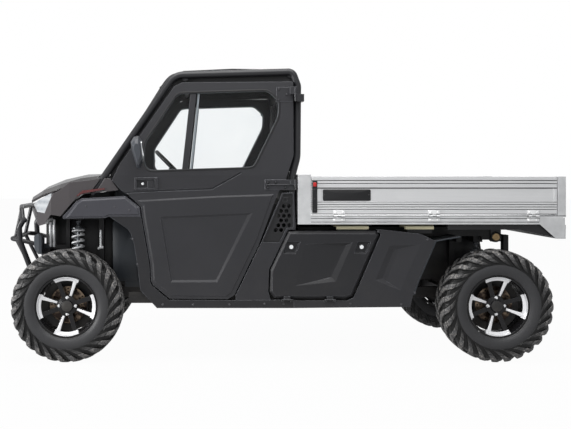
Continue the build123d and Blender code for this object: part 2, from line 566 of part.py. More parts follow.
def hood_section(x, edge_z, shoulder_z, crown_z, half_width):
    """One bent-sheet section of the hood: edge, shoulder, crown and back again underneath."""
    top = [(-half_width, edge_z), (-0.86 * half_width, shoulder_z), (-0.45 * half_width, crown_z - 6),
           (0, crown_z)]
    top = top + [(-y, z) for y, z in reversed(top[:-1])]
    under = [(y * (1 - hood_t / half_width), z - hood_t) for y, z in reversed(top)]
    under[0] = (top[-1][0] - 6, top[-1][1] - hood_t)
    under[-1] = (top[0][0] + 6, top[0][1] - hood_t)
    return make_face(Polyline([(x, y, z) for y, z in top + under], close=True))


hood = loft([hood_section(*station) for station in hood_stations], ruled=True)
for s in (-1, 1):
    hood += rod((hood_axis_x, s * 300, hood_axis_z), (hood_axis_x, s * 340, hood_axis_z), 8)
    hood += box(hood_axis_x - 6, hood_axis_x + 16, s * 300, s * 340, hood_axis_z, 1174)
nodes["hood"] = hood

# the nose shell: side outline cut to the outline from above, hollow, with a grille through its front
nose_side = [(1070, 1158), (1105, 1162), (1330, 1136), (1400, 1080), (1560, 1006), (1640, 990), (1655, 970),
             (1612, 925), (1560, 868), (1545, 853), (1500, 866), (1452, 930), (1388, 921), (1290, 1032),
             (1256, 1060), (1018, 1086)]
nose_plan = [(1000, -720), (1330, -720), (1452, -690), (1560, -560), (1632, -330), (1655, 0),
             (1632, 330), (1560, 560), (1452, 690), (1330, 720), (1000, 720)]
nose_t = 10.0
nose = side(nose_side, -725, 725) & plan(nose_plan, 840, 1180)
cavity = side(inset(nose_side, nose_t), -700, 700) & plan(inset(nose_plan, nose_t), 850, 1180)
nose = nose - cavity - box(990, 1400, -560, 560, 840, 1170)
hood_plan = [(x, w + clear) for x, *_, w in hood_stations]
hood_plan = [(1000, 560), (1250, 560), *hood_plan[2:], (1700, 390)]
hood_plan = hood_plan + [(x, -y) for x, y in reversed(hood_plan)]
nose = nose - plan(hood_plan, 1008, 1200)
nose = nose - side([(1400, 840), (1700, 860), (1700, 955), (1400, 955)], -300, 300)
for s in (-1, 1):
    nose = nose - (pillar_hole() if s > 0 else right(pillar_hole()))
grille_half = 300.0
slats = [front([(seat_gap - grille_half, z), (grille_half - seat_gap, z), (grille_half - seat_gap, z + 9),
                (seat_gap - grille_half, z + 9)], 1572 + (z - 870) * 0.3, 1592 + (z - 870) * 0.3)
         for z in (885, 910, 935)]
stays = [side([(1556, 880), (1574, 880), (1604, 954), (1586, 954)], y - 5,
              y + 5) for y in (-295, -100, 100, 295)]
nodes["grille"] = joined([*slats, *stays])
lamp_side = [(1440, 1058), (1456, 1064), (1556, 1014), (1596, 990), (1560, 944), (1500, 938)]
lamp_plan = [(1436, 560), (1430, 694), (1452, 690), (1560, 560), (1624, 400), (1576, 400), (1520, 520)]
nodes["headlamps"] = pair(side(lamp_side, 380, 700) & plan(lamp_plan, 900, 1100))
lamp_seat = side(inset(lamp_side, -seat_gap), 380, 710) & plan(inset(lamp_plan, -seat_gap), 900, 1100)
nodes["nose"] = nose - lamp_seat - right(lamp_seat)

# fenders over the front wheels, open below, with their front and rear arch lips
fender_side = [(1366, 907), (1370, 918), (1283, 1016), (1250, 1034), (975, 1049), (886, 980), (880, 920.3),
               (1078, 920.3), (1100, 912)]
fender_face = [(1350, 913), (1277, 1008), (1248, 1027), (978, 1042), (893, 976), (888, 928), (1079, 927),
               (1101, 914)]
fender = side(fender_side, 560, 738) + raised(fender_face, 737, 8, 9)
fender = fender - side(inset(fender_side, 6), 566, 732) - box(1104, 1400, 566, 732, 880, 925)
fender = fender - side(inset(fender_side, 6), 500, 570)
fender = fender - pillar_hole()
nodes["fenders"] = pair(fender)

marker = side([(1242, 1066), (1280, 1048), (1284, 1052), (1246, 1084), (1108, 1100), (1104, 1090)],
              720 + seat_gap, 728)
nodes["marker_lamps"] = pair(marker - fender)

# ------------------------------------------------------------------ bull bar
bar_r = 19.0
bar_y = 340.0
bar_line = [(1672, bar_y, 888), (1694, bar_y, 872), (1718, bar_y, 830), (1712, bar_y, 738),
            (1655, bar_y - 20, 580), (1600, bar_y - 40, 405), (rail_front + seat_gap, bar_y - 40, 405)]
bars = []
for s in (-1, 1):
    bars.append(tube([(x, s * y, z) for x, y, z in bar_line], bar_r, 42))
    bars.append(rod((1712, s * bar_y, 745), (1549, s * 320, 703), 14))
    bars.append(box(1543 + seat_gap, 1553, s * 296, s * 344, 686, 720))                # foot on the chassis
top_hoop = [(1692, -bar_y, 872), (1712, -bar_y + 60, 948), (1726, -200, 965), (1726, 200, 965),
            (1712, bar_y - 60, 948), (1692, bar_y, 872)]
low_hoop = [(1712, -bar_y, 745), (front_reach - 16, -bar_y + 40, 752), (front_reach - 16, bar_y - 40, 752),
            (1712, bar_y, 745)]
bars.append(tube(top_hoop, 16, 25))
bars.append(tube(low_hoop, 16, 40))
for y in (-180, 180):
    bars.append(rod((1726, y, 965), (front_reach - 16, y, 752), 13))
    bars.append(rod((front_reach - 16, y, 752), (1610, y, 430), 13))
bars.append(rod((1625, -bar_y + 30, 490), (1625, bar_y - 30, 490), 14))
bull_bar = bars[0]
for bar in bars[1:]:
    bull_bar = bull_bar + bar
nodes["bull_bar"] = bull_bar

# bumper corners: facetted mouldings each side, screwed to the front of the chassis by a tab
corner_side = [(1545, 662), (1545, 778), (1570, 796), (1600, 782), (1612, 742), (1598, 690), (1572, 662)]
corner_plan = [(1540, 350.0 + seat_gap), (1612, 350.0 + seat_gap), (1604, 420), (1566, 472), (1540, 472)]
corner = side(corner_side, 340, 480) & plan(corner_plan, 650, 800)
corner = corner + box(1500, 1550, 350.0 + seat_gap, 362, 692, 713)
nodes["bumper_corners"] = pair(corner)

# ------------------------------------------------------------------ lower body: sills, quarter and rear panels
lid_axis_y, lid_axis_z, lid_barrel = 748.0, 398.0, 40.0


def lid_knuckle(x):
    """The fixed barrels of a lid hinge, one each side of the lid's own."""
    shapes = []
    for near, far in ((x - hinge_gap - 14, x - hinge_gap), (x + lid_barrel + hinge_gap, x + lid_barrel + 14)):
        shapes.append(rod((near, lid_axis_y, lid_axis_z), (far, lid_axis_y, lid_axis_z), 6))
        shapes.append(box(near, far, skin_y - 4, lid_axis_y + 3, lid_axis_z - 12, lid_axis_z - 2))
    return joined(shapes)


riser_rear = [(703, 397), (809, 488), (819, 512), (824, 618), (876, 920)]
sill_side = [(777, sill_bottom_z), (881, 459), (890, 547), (917, 731), (937, 806), (961, 842), (1072, 920),
             *reversed(riser_rear), (288, 394), (282, sill_bottom_z)]
sill = side(sill_side, skin_y - 35, skin_y)
sill = sill + side([(-84, sill_bottom_z), (286, sill_bottom_z), (286, 394), (-84, 398)], skin_y - 35, skin_y)
nodes["sills"] = pair(sill + lid_knuckle(-60))

lid_outline = [(-51, 829), (-599, 829), (-622, 806), (-452, 419), (-415, 405), (37, 405), (69, 446), (65, 585)]
quarter = side([(62, 396.8), (77, 444), (72, 588), (-46, 838), (-94, 838), (-84, 1074), (-10, 1068), (122, 754),
                (282, 424), (282, 394.4)], skin_y - 20, skin_y)
vent_outline = [(-78, 1062), (-18, 1062), (112, 758), (8, 758), (-36, 846), (-78, 852)]
vent = side(vent_outline, skin_y - 31, skin_y + 1)
vent_frame = side(inset(vent_outline, seat_gap), skin_y - 16, skin_y - 8)
hexagon_corners = ((0, 1), (0.87, 0.5), (0.87, -0.5), (0, -1), (-0.87, -0.5), (-0.87, 0.5))
quarter = quarter - vent
for row in range(6):                                           # hexagon holes in staggered rows
    z = 985 - 30 * row
    for x in range(-56 + 17 * (row % 2), 60, 34):
        if -62 < x < -18 + (1042 - z) * 130 / 304 - 20 and z > 836 - 0.6 * (x + 40):
            hexagon = [(x + 14 * a, z + 14 * b) for a, b in hexagon_corners]
            vent_frame -= side(hexagon, skin_y - 20, skin_y)
vent_frame += box(-50, -14, skin_y - 9, skin_y - 3, 1006, 1042)
vent_frame -= rod((-32, skin_y - 7, 1024), (-32, skin_y + 4, 1024), 11)
nodes["quarter_panels"] = pair(quarter)
nodes["side_vents"] = pair(vent_frame)

rear_side = [(-606, 838), (-631, 808), (-461, 411), (-420, 392), (-84 - seat_gap, 392),
             (-84 - seat_gap, sill_bottom_z),
             (-815, 352), (-833, 430), (-866, 520), (-974, 768), (-877, 812), (-640, 838)]
rear_panel = side(rear_side, skin_y - 30, skin_y) + lid_knuckle(-330)
rear_rim = [(-687, 739), (-880, 744), (-754, 458), (-597, 521)]
rear_floor = [(-714, 712), (-745, 715), (-668, 512), (-642, 530)]
rear_panel = rear_panel - pocket(rear_rim, rear_floor, skin_y, 11)
nodes["rear_panels"] = pair(rear_panel)

liner_line = [(-833.4, 430), (-866.4, 520), (-974.4, 768), (-1130, 796)]
liner = side([*liner_line, *[(x - 8, z - 5) for x, z in reversed(liner_line)]], 482, skin_y - 6)
nodes["rear_liners"] = pair(liner)

bin_outline = [(-106, 812), (-590, 812), (-606, 796), (-443, 424), (-410, 416), (-106, 416)]
bin_t = 6.0
bin_body = side(bin_outline, bin_in, 692) - side(inset(bin_outline, bin_t), bin_in + bin_t, 700)
nodes["storage_bins"] = pair(bin_body)
lid_y = 742.0                                                  # outer face
lid = side(lid_outline, 697, lid_y - 15) + raised(lid_outline, lid_y - 15, 15, 17)
lid = lid - side(inset(lid_outline, 20), 690, 716)
lid_rim = [(-152, 748), (-452, 758), (-345, 512), (-92, 486)]
lid_floor = [(-390, 734), (-412, 738), (-318, 540), (-300, 534)]
lid = lid - pocket(lid_rim, lid_floor, lid_y, 13)
for lock, rim in (((-68, 729), [(-40, 764), (-124, 762), (-95, 688), (-18, 689)]),
                  ((-510, 729), [(-484, 764), (-566, 762), (-537, 688), (-462, 689)])):
    lid = lid - pocket(rim, inset(rim, 6), lid_y, 14)
    lid = lid + rod((lock[0], lid_y - 16, lock[1]), (lock[0], lid_y - 5, lock[1]), 14)
for x in (-330, -60):
    lid += rod((x, lid_axis_y, lid_axis_z), (x + lid_barrel, lid_axis_y, lid_axis_z), 6)
    lid += box(x, x + lid_barrel, skin_y + 1, lid_axis_y + 3, lid_axis_z, 420)
nodes["lid_left"] = lid
nodes["lid_right"] = right(lid)

# ------------------------------------------------------------------ bed
beam_top = bed_floor_z - bed_floor_t


def grooved(outer, inner, low, high, grooves, sunk=None):
    """Section of an extrusion standing between two heights, as (across, z) points: V grooves run along its
    outer face, and one band of it may be sunk."""
    inward = 1 if inner > outer else -1
    marks = [(z, [(outer, z - 2.5), (outer + 4 * inward, z), (outer, z + 2.5)]) for z in grooves]
    if sunk:
        marks.append((sunk[0], [(outer, sunk[0]), (outer + 5 * inward, sunk[0] + 4),
                                (outer + 5 * inward, sunk[1] - 4),
                                (outer, sunk[1])]))
    points = [(inner, low), (outer, low)]
    for _, corners in sorted(marks):
        points += corners
    return [*points, (outer, high), (inner, high)]


board_grooves, board_sunk, rave_grooves = (965.0, 981.0, 996.0, 1128.0,
                                           1147.0), (1010.0, 1101.0), (886.0, 908.0)
beam_in, beam_out = upper_rail_y - 22, upper_rail_y + 22
bed = [box(bed_back_x, bed_front_x, -724, 724, beam_top, bed_floor_z)]
for s in (-1, 1):
    rave = grooved(s * bed_half_w, s * 696, 872, bed_floor_z, rave_grooves)
    bed.append(front(rave, bed_back_x, bed_front_x))                                             # side rail
    for x in hinge_xs:                                         # fixed knuckles of the side board hinges
        bed.append(rod((x - 12, s * board_axis_y, board_axis_z), (x + 12, s * board_axis_y, board_axis_z), 7))
        bed.append(box(x - 12, x + 12, s * (bed_half_w - 2), s * board_axis_y, board_axis_z - 16, board_axis_z))
    # beam on the pads
    bed.append(box(bed_back_x + 48, bed_front_x - 20, s * beam_in, s * beam_out, bed_beam_z, beam_top + 4))
    bed.append(box(bed_front_x - 81, bed_front_x, s * 690, s * bed_half_w, 872, 1185))       # front corner post
    bed.append(box(bed_back_x - 18, bed_back_x + 32, s * 698, s * bed_half_w, 917, 1172))    # rear corner post
    inner, outer = upper_rail_y + upper_rail_w / 2, upper_rail_y + upper_rail_w / 2 + 12
    bed.append(box(bed_pivot_x - 34, bed_pivot_x + 34, s * (inner + 1), s * outer, bed_pivot_z - 30,
                   bed_beam_z + 8))
    bed.append(box(bed_pivot_x - 34, bed_pivot_x + 34, s * (beam_out - 4), s * outer, bed_beam_z, beam_top + 2))
    bed.append(rod((bed_pivot_x, s * (upper_rail_y - 20), bed_pivot_z),
                   (bed_pivot_x, s * outer, bed_pivot_z), pivot_pin_r))
bed.append(box(bed_front_x - 25, bed_front_x, -692, 692, bed_floor_z - 4, 1185))
for x in (-400, -760, -1120, bed_back_x + 208, bed_back_x + 28):
    bed.append(box(x - 20, x + 20, -700, 700, beam_top - 30, beam_top + 2))
bed.append(box(bed_back_x, bed_back_x + 34, -724, 724, 872, bed_floor_z - 2))
for y in tail_hinge_ys:
    bed.append(rod((tail_axis_x, y - 12, board_axis_z), (tail_axis_x, y + 12, board_axis_z), 7))
    bed.append(box(tail_axis_x, bed_back_x + 2, y - 12, y + 12, board_axis_z - 16, board_axis_z))
for s in (-1, 1):                                              # lugs each side of the lift's eye
    bed.append(box(lift_eye_at[0] - 18, -400, s * 12.5, s * 20, lift_eye_at[2] - 18, beam_top))
bed_frame = joined(bed)
nodes["bed_frame"] = bed_frame
tail_panel = side([(bed_back_x + dx, z) for dx, z in ((46, 870), (46, 800), (38, 782), (-16, 782), (-18, 868),
                                                      (-8, 871.5))], -bed_half_w, bed_half_w)
cheek = [(bed_back_x + dx, z) for dx, z in ((148, 914), (-11, 914), (-11, 783), (45, 783), (148, 874))]
nodes["tail_lamp_panel"] = joined([tail_panel, *[side(cheek, s * (bed_half_w + seat_gap), s * (bed_half_w + 3))
                                                for s in (-1, 1)]])

pads = [box(x0, x1, y0, y1, upper_rail_z + upper_rail_h, bed_beam_z - seat_gap)
        for x0, x1 in ((-592, -372), (-1030, -812)) for y0, y1 in ((beam_in, beam_out),)]
nodes["bed_pads"] = pair(Compound(children=[s for p in pads for s in p.solids()]))

side_board = front(grooved(bed_half_w, bed_half_w - board_t, bed_floor_z + clear, bed_top_z, board_grooves,
                           board_sunk),
                   bed_back_x + 38, bed_front_x - 87)
for x0, x1 in ((bed_front_x - 144, bed_front_x - 87),          # plain stiles close the ends of the grooves
               (bed_back_x + 38, bed_back_x + 56)):
    side_board += box(x0, x1, bed_half_w - 8, bed_half_w, bed_floor_z + clear, bed_top_z)
for x in hinge_xs:
    for e in (-1, 1):
        side_board += rod((x + e * 12.4, board_axis_y, board_axis_z),
                          (x + e * 34, board_axis_y, board_axis_z), 7)
        side_board += box(x + e * 12.4, x + e * 34, bed_half_w - 1, bed_half_w + 5, bed_floor_z + clear,
                          bed_floor_z + 36)
        side_board += box(x + e * 12.4, x + e * 34, bed_half_w + 1, board_axis_y, board_axis_z,
                          bed_floor_z + 14)
nodes["board_left"] = side_board
nodes["board_right"] = right(side_board)
tail_board = side(grooved(bed_back_x, bed_back_x + board_t, bed_floor_z + clear, bed_top_z, board_grooves,
                          board_sunk),
                  -690, 690)
for y in (-675, 675):
    tail_board += box(bed_back_x, bed_back_x + 8, y - 15, y + 15, bed_floor_z + clear, bed_top_z)
for y in tail_hinge_ys:
    for e in (-1, 1):
        tail_board += rod((tail_axis_x, y + e * 12.4, board_axis_z), (tail_axis_x, y + e * 34, board_axis_z), 7)
        tail_board += box(bed_back_x - 5, bed_back_x + 1, y + e * 12.4, y + e * 34, bed_floor_z + clear,
                          bed_floor_z + 36)
        tail_board += box(tail_axis_x, bed_back_x - 1, y + e * 12.4, y + e * 34, board_axis_z, bed_floor_z + 14)
nodes["tailboard"] = tail_board

# lift: a barrel pinned to a chassis cross bar, and a rod whose eye stands between two lugs under the bed
lift_foot, lift_eye = Vector(*lift_foot_at), Vector(*lift_eye_at)
lift_way = (lift_eye - lift_foot).normalized()
barrel = rod(tuple(lift_foot), tuple(lift_foot + lift_way * barrel_length), barrel_r)
barrel = barrel - rod(tuple(lift_foot + lift_way * 150), tuple(lift_foot + lift_way * (barrel_length + 1)),
                      lift_rod_r + 0.06)
barrel = barrel + rod((lift_foot.X, -22, lift_foot.Z), (lift_foot.X, 22, lift_foot.Z), 20)
nodes["lift_barrel"] = barrel
plunger = rod(tuple(lift_foot + lift_way * 300), tuple(lift_eye), lift_rod_r)
plunger = plunger + rod((lift_eye.X, -12, lift_eye.Z), (lift_eye.X, 12, lift_eye.Z), 14)
nodes["lift_rod"] = plunger

# ------------------------------------------------------------------ inside the cab
seat_places = (330.0, 0.0, -330.0)
cushions, backs = [], []
for y in seat_places:
    half = 160.0
    cushions.append(box(160, 620, y - half, y + half, seat_riser_z + seat_gap, 745))
    slab = side([(24, seat_riser_z + seat_gap), (150, seat_riser_z + seat_gap), (152, 752), (118, 1000),
                 (84, 1290),
                 (34, 1290), (2, 900)], y - half, y + half)
    backs.append(slab)
nodes["seat_cushions"] = Compound(children=[s for c in cushions for s in c.solids()])
dash_x = firewall_x + 40 - seat_gap
nodes["seat_backs"] = Compound(children=[s for c in backs for s in c.solids()])
dash = side([(880, 1168), (1040, 1182), (dash_x, 1134), (dash_x, 930), (960, 926), (905, 980), (830, 1060),
             (826, 1110)], -540, 540)
nodes["dashboard"] = dash
hub = Vector(*steering_hub)
column_dir = Vector(1, 0, -1).normalized()
nodes["steering_column"] = rod(tuple(hub + column_dir * (25 + seat_gap)), tuple(hub + column_dir * 215),
                               24) - dash
wheel_plane = Plane(origin=hub, z_dir=Vector(-1, 0, 1))
ring = wheel_plane * Torus(170, 13)
spokes = [wheel_plane * (Rot(0, 0, a) * (Pos(85, 0, 0) * Box(170, 34, 12))) for a in (0, 180, 270)]
boss = wheel_plane * (Pos(0, 0, -8) * Cylinder(36, 34))
nodes["steering_wheel"] = joined([*ring.solids(), *[x for g in spokes for x in g.solids()], *boss.solids()])


for name, shape in nodes.items():
    export_step(shape, f"parts/{name}.step")
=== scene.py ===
import math
import bmesh
import bpy
import numpy as np
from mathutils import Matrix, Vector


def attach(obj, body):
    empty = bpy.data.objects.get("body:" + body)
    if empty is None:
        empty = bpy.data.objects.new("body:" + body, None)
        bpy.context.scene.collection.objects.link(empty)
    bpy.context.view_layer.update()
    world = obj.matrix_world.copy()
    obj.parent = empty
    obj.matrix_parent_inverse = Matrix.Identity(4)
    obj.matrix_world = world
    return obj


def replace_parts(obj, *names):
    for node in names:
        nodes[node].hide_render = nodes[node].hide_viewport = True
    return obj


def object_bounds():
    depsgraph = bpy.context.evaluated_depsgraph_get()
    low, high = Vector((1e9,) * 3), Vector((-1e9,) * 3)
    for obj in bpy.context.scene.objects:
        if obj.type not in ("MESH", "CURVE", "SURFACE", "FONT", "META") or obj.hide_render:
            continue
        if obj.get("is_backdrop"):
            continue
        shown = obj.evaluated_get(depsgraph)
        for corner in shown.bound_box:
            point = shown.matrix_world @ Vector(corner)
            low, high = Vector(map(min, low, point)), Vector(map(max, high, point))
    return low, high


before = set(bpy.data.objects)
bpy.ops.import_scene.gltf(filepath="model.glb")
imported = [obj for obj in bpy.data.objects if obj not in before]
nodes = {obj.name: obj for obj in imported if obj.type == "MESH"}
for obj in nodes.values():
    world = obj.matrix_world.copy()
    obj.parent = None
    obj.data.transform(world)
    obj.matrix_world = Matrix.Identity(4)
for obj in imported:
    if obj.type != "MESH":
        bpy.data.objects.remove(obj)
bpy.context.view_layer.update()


# ---------------------------------------------------------------- camera, floor and light
# A long lens at chest height square to the vehicle's left side, over a plain white floor under soft lamps.
def add(tree, kind, inputs=(), **settings):
    """Adds a node; inputs are (socket, value or another node's output) pairs, settings its own fields."""
    made = tree.nodes.new(kind if kind.startswith("Node") else "ShaderNode" + kind)
    for field, value in settings.items():
        setattr(made, field, value)
    for socket, value in inputs:
        if isinstance(value, bpy.types.NodeSocket):
            tree.links.new(value, made.inputs[socket])
        else:
            made.inputs[socket].default_value = value
    return made


def calc(tree, operation, *values, clamp=False):
    """The output of a Math node."""
    return add(tree, "Math", enumerate(values), operation=operation, use_clamp=clamp).outputs[0]


def span(tree, value, low, high, to_low=0.0, to_high=1.0):
    """The value between low and high carried over to the range from to_low to to_high, held at its ends."""
    ends = (("Value", value), ("From Min", low), ("From Max", high), ("To Min", to_low), ("To Max", to_high))
    return add(tree, "MapRange", ends).outputs[0]


def noise(tree, place, scale, detail, roughness=0.5):
    """Noise from 0 to 1 at a place."""
    settings = (("Vector", place), ("Scale", scale), ("Detail", detail), ("Roughness", roughness))
    return add(tree, "TexNoise", settings).outputs["Fac"]


def colour_mix(tree, share, first, second):
    """Two colours, each an output or three numbers, mixed by a share of the second."""
    first, second = ((*c, 1) if isinstance(c, tuple) else c for c in (first, second))
    return add(tree, "MixRGB", ((0, share), (1, first), (2, second))).outputs[0]


def spot(tree):
    """The place on the object, and its x, y and z one by one."""
    place = add(tree, "TexCoord").outputs["Object"]
    return place, add(tree, "SeparateXYZ", [(0, place)]).outputs


def principled(tree, inputs):
    """A Principled shader with these inputs on the material's surface."""
    add(tree, "OutputMaterial", [("Surface", add(tree, "BsdfPrincipled", inputs).outputs[0])])


def bare_material(name):
    """A material with an empty node tree."""
    made = bpy.data.materials.new(name)
    made.use_nodes = True
    made.node_tree.nodes.clear()
    return made, made.node_tree


camera = bpy.data.objects.new("camera", bpy.data.cameras.new("camera"))
bpy.context.scene.collection.objects.link(camera)
camera.location = (0.532, 6.55, 1.181)
camera.rotation_euler = (math.radians(90), 0, math.radians(180))
camera.data.lens, camera.data.sensor_width = 58.33, 36
camera.data.shift_x, camera.data.shift_y = 0.157, -0.069
bpy.context.scene.camera = camera
bpy.context.scene.view_settings.view_transform = "Standard"


def seen(tree):
    """1 for rays that look at the background straight or through glass, less in a reflection, 0 for light that
    has been scattered on its way, also where it passed through glass after that."""
    path = add(tree, "LightPath").outputs
    in_reflection = calc(tree, "MULTIPLY", path["Is Glossy Ray"], 0.5)
    straight = calc(tree, "MAXIMUM", path["Is Camera Ray"], in_reflection)
    any_way = calc(tree, "MAXIMUM", straight, path["Is Transmission Ray"])
    unscattered = calc(tree, "LESS_THAN", path["Diffuse Depth"], 0.5)
    return calc(tree, "MULTIPLY", any_way, unscattered)


world = bpy.data.worlds.new("studio")
bpy.context.scene.world = world
world.use_nodes = True
sky = world.node_tree
sky.nodes.clear()
soft = add(sky, "Background", [("Color", (0.93, 0.96, 1.0, 1)), ("Strength", 0.36)])
white = add(sky, "Background", [("Color", (1, 1, 1, 1)), ("Strength", 1.0)])
mixed = add(sky, "MixShader", [(0, seen(sky)), (1, soft.outputs[0]), (2, white.outputs[0])])
add(sky, "OutputWorld", [("Surface", mixed.outputs[0])])

floor = bpy.data.objects.new("floor", bpy.data.meshes.new("floor"))
floor.data.from_pydata([(-40, -40, 0), (40, -40, 0), (40, 40, 0), (-40, 40, 0)], [], [(0, 1, 2, 3)])
bpy.context.scene.collection.objects.link(floor)
floor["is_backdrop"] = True
pale, tree = bare_material("pale_floor")
matte = add(tree, "BsdfDiffuse", [("Color", (0.42, 0.42, 0.42, 1))])
glow = add(tree, "Emission", [("Color", (1, 1, 1, 1)), ("Strength", 1.0)])
share = calc(tree, "MULTIPLY", seen(tree), 0.97)
both = add(tree, "MixShader", [(0, share), (1, matte.outputs[0]), (2, glow.outputs[0])])
add(tree, "OutputMaterial", [("Surface", both.outputs[0])])
floor.data.materials.append(pale)

# each lamp's name, place, aim, size in metres and watts; none shows in the door glass
for name, place, aim, size, power in (("above", (0.4, 2.2, 5.2), (0, 0, 0.6), 5.0, 330),
                                      ("beside", (1.6, 7.5, 2.6), (0, 0.4, 0.8), 4.5, 80),
                                      ("behind", (-1.5, -5.0, 3.6), (0, 0, 0.8), 4.0, 130),
                                      ("ahead", (6.6, 3.0, 2.0), (0.6, 0.5, 0.7), 2.0, 330)):
    lamp = bpy.data.objects.new("lamp_" + name, bpy.data.lights.new("lamp_" + name, "AREA"))
    bpy.context.scene.collection.objects.link(lamp)
    lamp.data.size, lamp.data.energy = size, power
    lamp.visible_glossy, lamp.visible_transmission = name != "beside", False
    lamp.location = place
    way = np.array(aim, float) - np.array(place, float)
    lamp.rotation_euler = (math.atan2(math.hypot(way[0], way[1]), -way[2]), 0, math.atan2(-way[0], way[1]))


# ---------------------------------------------------------------- moulded body panels and liners
# Textured charcoal plastic: belly panels, doors, sills, lids and arch liners, injection moulded and screwed
# to tabs. Edges carry a light colour, partly wear and partly a painted highlight; dust gathers low down and on
# ledges.
def shared_effect(name, inputs, outputs):
    """An empty node group with its named inputs and outputs, and its two end nodes."""
    tree = bpy.data.node_groups.new(name, "ShaderNodeTree")
    for label, kind, value in inputs:
        tree.interface.new_socket(label, in_out="INPUT", socket_type="NodeSocket" + kind).default_value = value
    for label, kind in outputs:
        tree.interface.new_socket(label, in_out="OUTPUT", socket_type="NodeSocket" + kind)
    return tree, add(tree, "NodeGroupInput").outputs, add(tree, "NodeGroupOutput").inputs


tree, given, result = shared_effect(
    "wear_and_edge_highlight",
    [("Base", "Color", (0.1, 0.1, 0.1, 1)), ("Second", "Color", (0.1, 0.1, 0.1, 1)),
     ("Patch Scale", "Float", 3.0), ("Patch Amount", "Float", 0.5), ("Grain Scale", "Float", 500.0),
     ("Grain Depth", "Float", 0.1), ("Roughness", "Float", 0.5), ("Roughness Spread", "Float", 0.15),
     ("Edge Colour", "Color", (0.3, 0.3, 0.3, 1)), ("Edge Amount", "Float", 0.4),
     ("Edge Radius", "Float", 0.003), ("Dust Colour", "Color", (0.3, 0.27, 0.23, 1)),
     ("Dust Amount", "Float", 0.1)],
    [("Colour", "Color"), ("Roughness", "Float"), ("Normal", "Vector"), ("Edge", "Float")])
wear_and_edge_highlight = tree
# the base colour drifts into the second one in patches
place, xyz = spot(tree)
patches = noise(tree, place, given["Patch Scale"], 5.0, 0.6)
patch = calc(tree, "MULTIPLY", span(tree, patches, 0.34, 0.66), given["Patch Amount"])
tone = colour_mix(tree, patch, given["Base"], given["Second"])
# edges get a lighter colour where the rounded normal turns away from the flat one, in broken lines: partly
# wear, partly a painted highlight
flat_normal = add(tree, "NewGeometry").outputs["Normal"]
bevel = add(tree, "Bevel", [("Radius", given["Edge Radius"])], samples=4).outputs[0]
turn = add(tree, "VectorMath", [(0, bevel), (1, flat_normal)], operation="DOT_PRODUCT").outputs["Value"]
broken = span(tree, noise(tree, place, 38.0, 4.0), 0.35, 0.6, 0.35)
edge_wear_and_highlight = calc(tree, "MULTIPLY", span(tree, turn, 0.985, 0.86), broken)
edge = calc(tree, "MULTIPLY", edge_wear_and_highlight, given["Edge Amount"])
edged = colour_mix(tree, edge, tone, given["Edge Colour"])
# dust lies on ledges that face up, and low down
facing = add(tree, "SeparateXYZ", [(0, flat_normal)]).outputs["Z"]
low = span(tree, xyz["Z"], 0.75, 0.25, to_high=0.8)
settled = calc(tree, "MAXIMUM", span(tree, facing, 0.2, 1.0), low)
loose = span(tree, noise(tree, place, 9.0, 6.0), 0.3, 0.7)
dust = calc(tree, "MULTIPLY", calc(tree, "MULTIPLY", settled, loose), given["Dust Amount"], clamp=True)
coloured = colour_mix(tree, dust, edged, given["Dust Colour"])
# patches and dust vary the roughness; the grain is a fine bump over the rounded edges
vary = calc(tree, "MULTIPLY_ADD", calc(tree, "SUBTRACT", patches, 0.5), given["Roughness Spread"],
            given["Roughness"])
dulled = calc(tree, "MULTIPLY_ADD", dust, 0.35, vary, clamp=True)
grain = noise(tree, place, given["Grain Scale"], 3.0)
bumped = add(tree, "Bump", [("Strength", given["Grain Depth"]), ("Distance", 0.001), ("Height", grain),
                            ("Normal", bevel)]).outputs[0]
for label, value in (("Colour", coloured), ("Roughness", dulled), ("Normal", bumped), ("Edge", edge)):
    tree.links.new(value, result[label])


def finish(name, base, second, roughness=0.5, metallic=0.0, coat=0.0, specular=0.35, **wear):
    """A material of one Principled shader fed by the shared group of wear, dust and painted edge highlights;
    wear sets the group's own inputs.
    """
    made, tree = bare_material(name)
    group = add(tree, "Group", node_tree=wear_and_edge_highlight)
    values = {"Base": base, "Second": second, "Roughness": roughness}
    values.update({key.replace("_", " ").title(): value for key, value in wear.items()})
    for label, value in values.items():
        group.inputs[label].default_value = (*value, 1) if isinstance(value, tuple) else value
    fed = [(label, group.outputs[source]) for label, source in
           (("Base Color", "Colour"), ("Roughness", "Roughness"), ("Normal", "Normal"))]
    fed += [("Metallic", metallic), ("Coat Weight", coat), ("Coat Roughness", 0.08),
            ("Specular IOR Level", specular)]
    principled(tree, fed)
    return made


def dress(material, *names):
    """Gives CAD nodes a material."""
    for name in names:
        for held in nodes[name].material_slots:
            held.material = material


def charcoal_plastic(name, base, second, roughness, grain_depth, edge_colour):
    """One copy of the moulded charcoal; the lighter copy is painted light, the darker one painted shade."""
    return finish(name, base, second, roughness, grain_scale=650.0, grain_depth=grain_depth,
                  edge_colour=edge_colour, edge_amount=0.9, edge_radius=0.0035, dust_amount=0.03)


